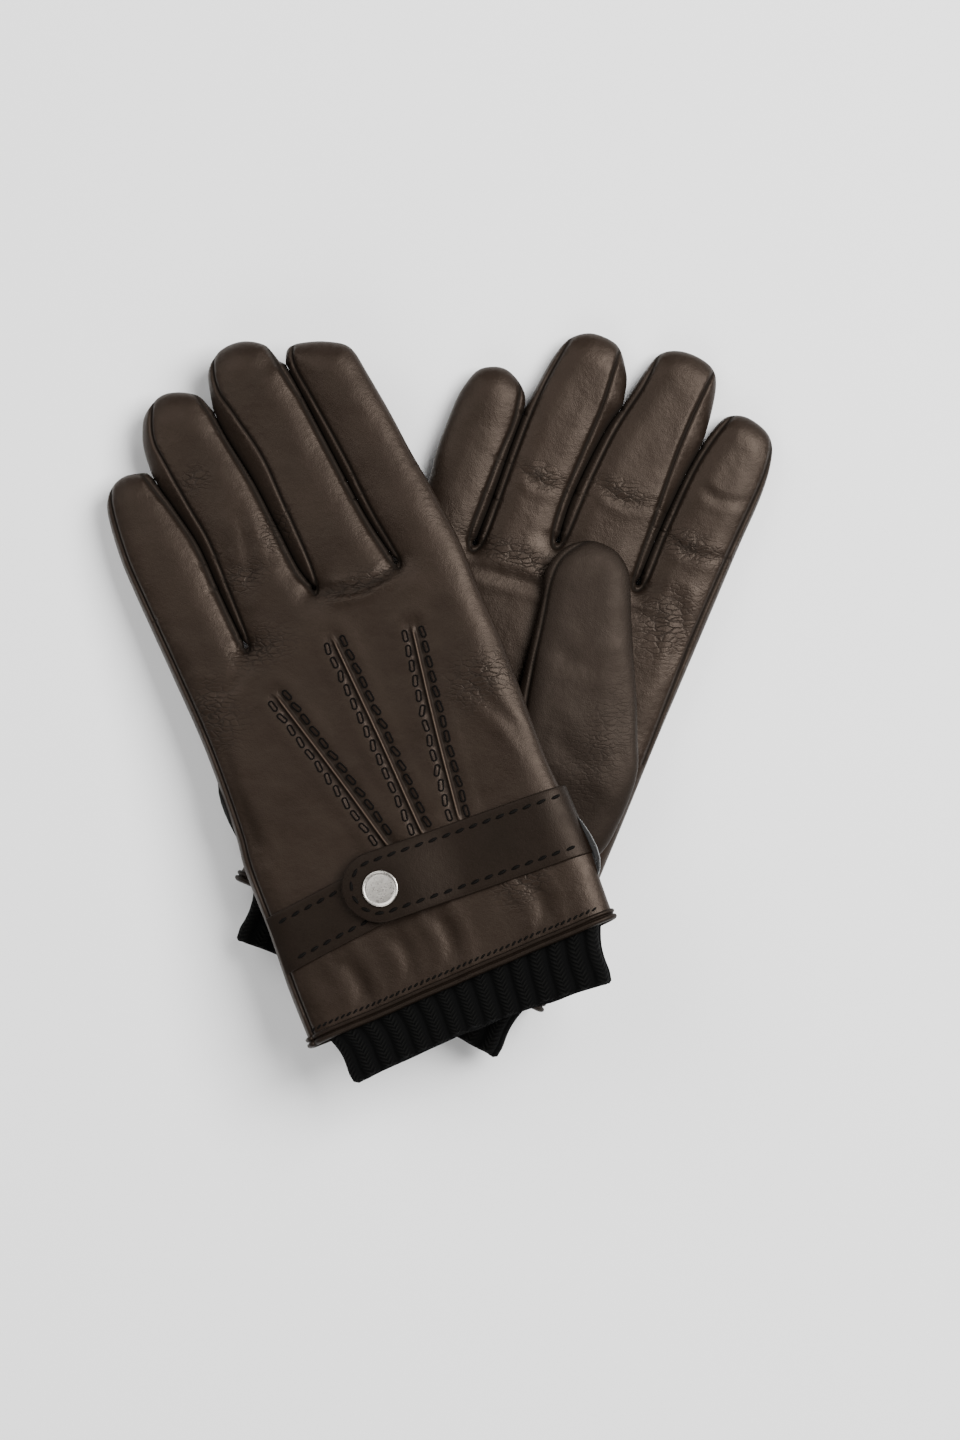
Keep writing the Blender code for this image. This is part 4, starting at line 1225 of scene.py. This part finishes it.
def leather_stitches(hand):
    """The loops beside the points and the row above the hem."""
    loops = bmesh.new()
    for line in TUCKS:
        path = smooth(line, 1.0)
        for side in (-1, 1):
            row = beside(path, [side * LOOP_OFF])
            leather_row(loops, hand, row, LOOP_PITCH, True, slant=0.12 * side, off=0.1,
                        draw=lambda bm, where: ring(bm, where, LOOP[0] * MM, LOOP[1] * MM, LOOP[2] * MM))
    hem = bmesh.new()
    left, right = PLANS[hand]["little_side"][-1][0] + 2.5, PLANS[hand]["index_side"][0][0] - 2.0
    row = np.array([(x, HEM_ROW + 0.3 * noise.noise((x / 18, 0, 5))) for x in np.linspace(left, right, 60)])
    for back in (True, False):
        leather_row(hem, hand, row, HEM_PITCH, back, slant=0.5,
                    draw=lambda bm, where: dash(bm, where, HEM_STITCH[0] * MM, HEM_STITCH[1] * MM))
    return [piece_from(f"{hand}_point_stitches", loops, thread),
            piece_from(f"{hand}_hem_stitches", hem, thread)]


leather_rows = {hand: leather_stitches(hand) for hand in HANDS}
for rows in leather_rows.values():
    tell("leather stitches", rows)

# %% [markdown]
# ## Snap
# The cap is a thin pressed disc: its profile runs from the middle over a faint dish and a rolled rim to the
# underside, and one spin makes it.

# %% Snap cap
CAP_FOOT = 10.52
CAP_PROFILE = [(0, 0.86), (2.5, 0.86), (4.8, 0.84), (5.35, 0.8), (5.6, 0.92), (5.85, 1.0), (6.1, 0.95),
               (6.25, 0.7), (6.22, 0.35), (5.95, 0.06), (5.2, 0), (0, 0)]


def make_cap(hand):
    """The snap's cap."""
    bm = bmesh.new()
    verts = [bm.verts.new((r * MM, 0, h * MM)) for r, h in CAP_PROFILE]
    edges = [bm.edges.new(pair) for pair in zip(verts, verts[1:])]
    bmesh.ops.spin(bm, geom=verts + edges, cent=(0, 0, 0), axis=(0, 0, 1), angle=2 * math.pi, steps=64,
                   use_merge=True)
    bmesh.ops.remove_doubles(bm, verts=bm.verts, dist=1e-6)
    up = (LIE[hand].to_3x3() @ Vector((0, 0, 1))).normalized()
    turn = up.to_track_quat("Z", "Y").to_matrix().to_4x4()
    bmesh.ops.transform(bm, verts=bm.verts,
                        matrix=Matrix.Translation(on_glove(hand, (*SNAP, CAP_FOOT))) @ turn)
    return piece_from(f"{hand}_cap", bm, nickel)


caps = {hand: make_cap(hand) for hand in HANDS}
tell("caps", caps.values())

# %% [markdown]
# ## Lining
# The lining is a bag made as the skin is, from a coarser plan and a little nearer the glove's middle.

# %% The lining bags
LINING_INSET = 1.3
LINING_STEP = 4.0
LINING_MOUTH = 11


def make_lining_bag(hand):
    """The lining: a thin bag a little inside the leather, open at the cuff."""
    left, right = PLANS[hand]["little_side"][-1][0] + 4, PLANS[hand]["index_side"][0][0] - 4
    corner = (left, LINING_MOUTH)
    outline = smooth([corner, (right, LINING_MOUTH), (right, 60), (right - 1, 100), (20, 128), (-14, 126),
                      (left + 2, 100), (left, 60), corner], LINING_STEP)[:-1]
    flat, faces, rim = triangulate(outline, [], spacing=LINING_STEP)
    mouth = rim & (flat[:, 1] < LINING_MOUTH + 0.6)
    top = leather_height(hand, flat, True) - LINING_INSET
    bottom = -leather_height(hand, flat, False) + LINING_INSET
    closed = rim & ~mouth
    top[closed] = bottom[closed] = 0
    points, skin = cushion(flat, faces, closed, top, bottom)
    return mesh_object(f"{hand}_lining_bag", points, skin, lining, hand)


linings = {hand: make_lining_bag(hand) for hand in HANDS}
tell("linings", linings.values())

# %% [markdown]
# ## The stage
# A pale table, one large soft light from the upper left, a weaker fill and a bright room. The camera looks
# straight down through a long lens, as product pictures are taken.

# %% Camera, table and light
VIEW_HEIGHT = 0.4968
CAMERA_DISTANCE = 1.8
CAMERA_TARGET = (0.0152, -0.0043, 0.03)
SENSOR = 36.0
ROOM_LIGHT = 0.16
LAMP_AIM = Vector((0, 0, 0.02))
LAMPS = (("key", (0.95, 0.5, 1.5), 1.1, 78.0), ("fill", (-1.2, 0.9, 1.5), 1.4, 22.0),
         ("front", (-0.2, -1.5, 1.2), 1.4, 18.0))


def make_stage():
    """The table, the lights, the room and the camera."""
    bm = bmesh.new()
    bmesh.ops.create_grid(bm, x_segments=1, y_segments=1, size=3.0)
    mesh = bpy.data.meshes.new("table")
    bm.to_mesh(mesh)
    bm.free()
    table = linked("table", mesh)
    finish = Finish("pale_table", (0.86, 0.86, 0.86), 0.85, specular=0.2)
    grain = finish.noise(finish.place, 6.0)
    finish.feed("Base Color", finish.ramp(grain, (0.2, (0.92, 0.92, 0.92)), (0.8, (0.94, 0.94, 0.94))))
    mesh.materials.append(finish.material)
    for name, place, size, power in LAMPS:
        light = bpy.data.lights.new(name, "AREA")
        light.size, light.energy = size, power
        made = linked(name, light)
        made.location = place
        made.rotation_euler = (LAMP_AIM - Vector(place)).to_track_quat("-Z", "Y").to_euler()
    world = bpy.data.worlds.new("room")
    world.use_nodes = True
    background = world.node_tree.nodes["Background"]
    background.inputs["Color"].default_value = (1.0, 1.0, 1.0, 1)
    background.inputs["Strength"].default_value = ROOM_LIGHT
    bpy.context.scene.world = world
    lens = bpy.data.cameras.new("camera")
    lens.sensor_width = SENSOR
    lens.lens = SENSOR * CAMERA_DISTANCE / VIEW_HEIGHT
    lens.clip_end = 20
    camera = linked("camera", lens)
    camera.location = Vector(CAMERA_TARGET) + Vector((0, 0, CAMERA_DISTANCE))
    bpy.context.scene.camera = camera


make_stage()
print("lamps", [name for name, *_ in LAMPS])

# %% [markdown]
# ## Riding the frame
# The hand's skin and the pieces on it ride on the rigid hand, and the cap rides on the strap. The skins of
# the fingers, the thumb and the strap stay where they were made.

# %% The skins on their bodies
BEND_LENGTH = 16.0
CAD_SIDES = {"index": ("outer",), "middle": ("inner", "outer"), "ring": ("inner", "outer"),
             "little": ("inner",)}


def put_on_frame(hand):
    """Ties the hand's skin, the pieces on it and the cap to their bodies, leaves the other skins where they
    are, and hides the plain parts that the skins stand for.
    """
    hand_nodes = ("back_panel", "palm_panel", "fork_little_ring", "fork_ring_middle", "fork_middle_index")
    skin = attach(skins[hand]["hand"], f"{hand}_hand")
    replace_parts(skin, *(f"{hand}_{node}" for node in hand_nodes))
    for finger in FINGERS:
        _, place, along = split_line(hand, finger)
        start = on_glove(hand, (*place, 0))
        end = on_glove(hand, (*(place + along * BEND_LENGTH), 0))
        skin = skins[hand][finger]
        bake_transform(skin)
        sides = [f"{hand}_{finger}_fourchette_{side}" for side in CAD_SIDES[finger]]
        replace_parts(skin, f"{hand}_{finger}_back", f"{hand}_{finger}_palm", *sides)
    for piece, nodes, slot in (
        (bindings[hand], ["hem_binding"], "leather"), (cuffs[hand], ["knit_cuff"], "knit"),
        (linings[hand], ["lining"], "lining"), (straps[hand, "under_strap"], ["under_strap"], "leather"),
        (strap_rows[hand, "under_strap"], [], "leather"),
        *((row, [], "leather") for row in leather_rows[hand]),
    ):
        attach(piece, f"{hand}_hand")
        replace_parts(piece, *(f"{hand}_{node}" for node in nodes))
    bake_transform(thumbs[hand], f"{hand}_hand", f"{hand}_thumb",
             on_glove(hand, (46, 56, THUMB_LEVEL)), on_glove(hand, (40, 90, THUMB_LEVEL)))
    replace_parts(thumbs[hand], f"{hand}_thumb_front", f"{hand}_thumb_back")
    for piece, nodes in ((straps[hand, "strap"], ["strap"]), (strap_rows[hand, "strap"], [])):
        on_glove(hand, (58, 36, 0))
        on_glove(hand, (42, 36, 0))
        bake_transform(piece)
        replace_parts(piece, *(f"{hand}_{node}" for node in nodes))
    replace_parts(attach(caps[hand], f"{hand}_strap"), f"{hand}_snap_cap")
    for part in ("stud", "post", "socket"):
        for slot in frame["nodes"][f"{hand}_snap_{part}"].material_slots:
            slot.material = nickel


for hand in HANDS:
    put_on_frame(hand)
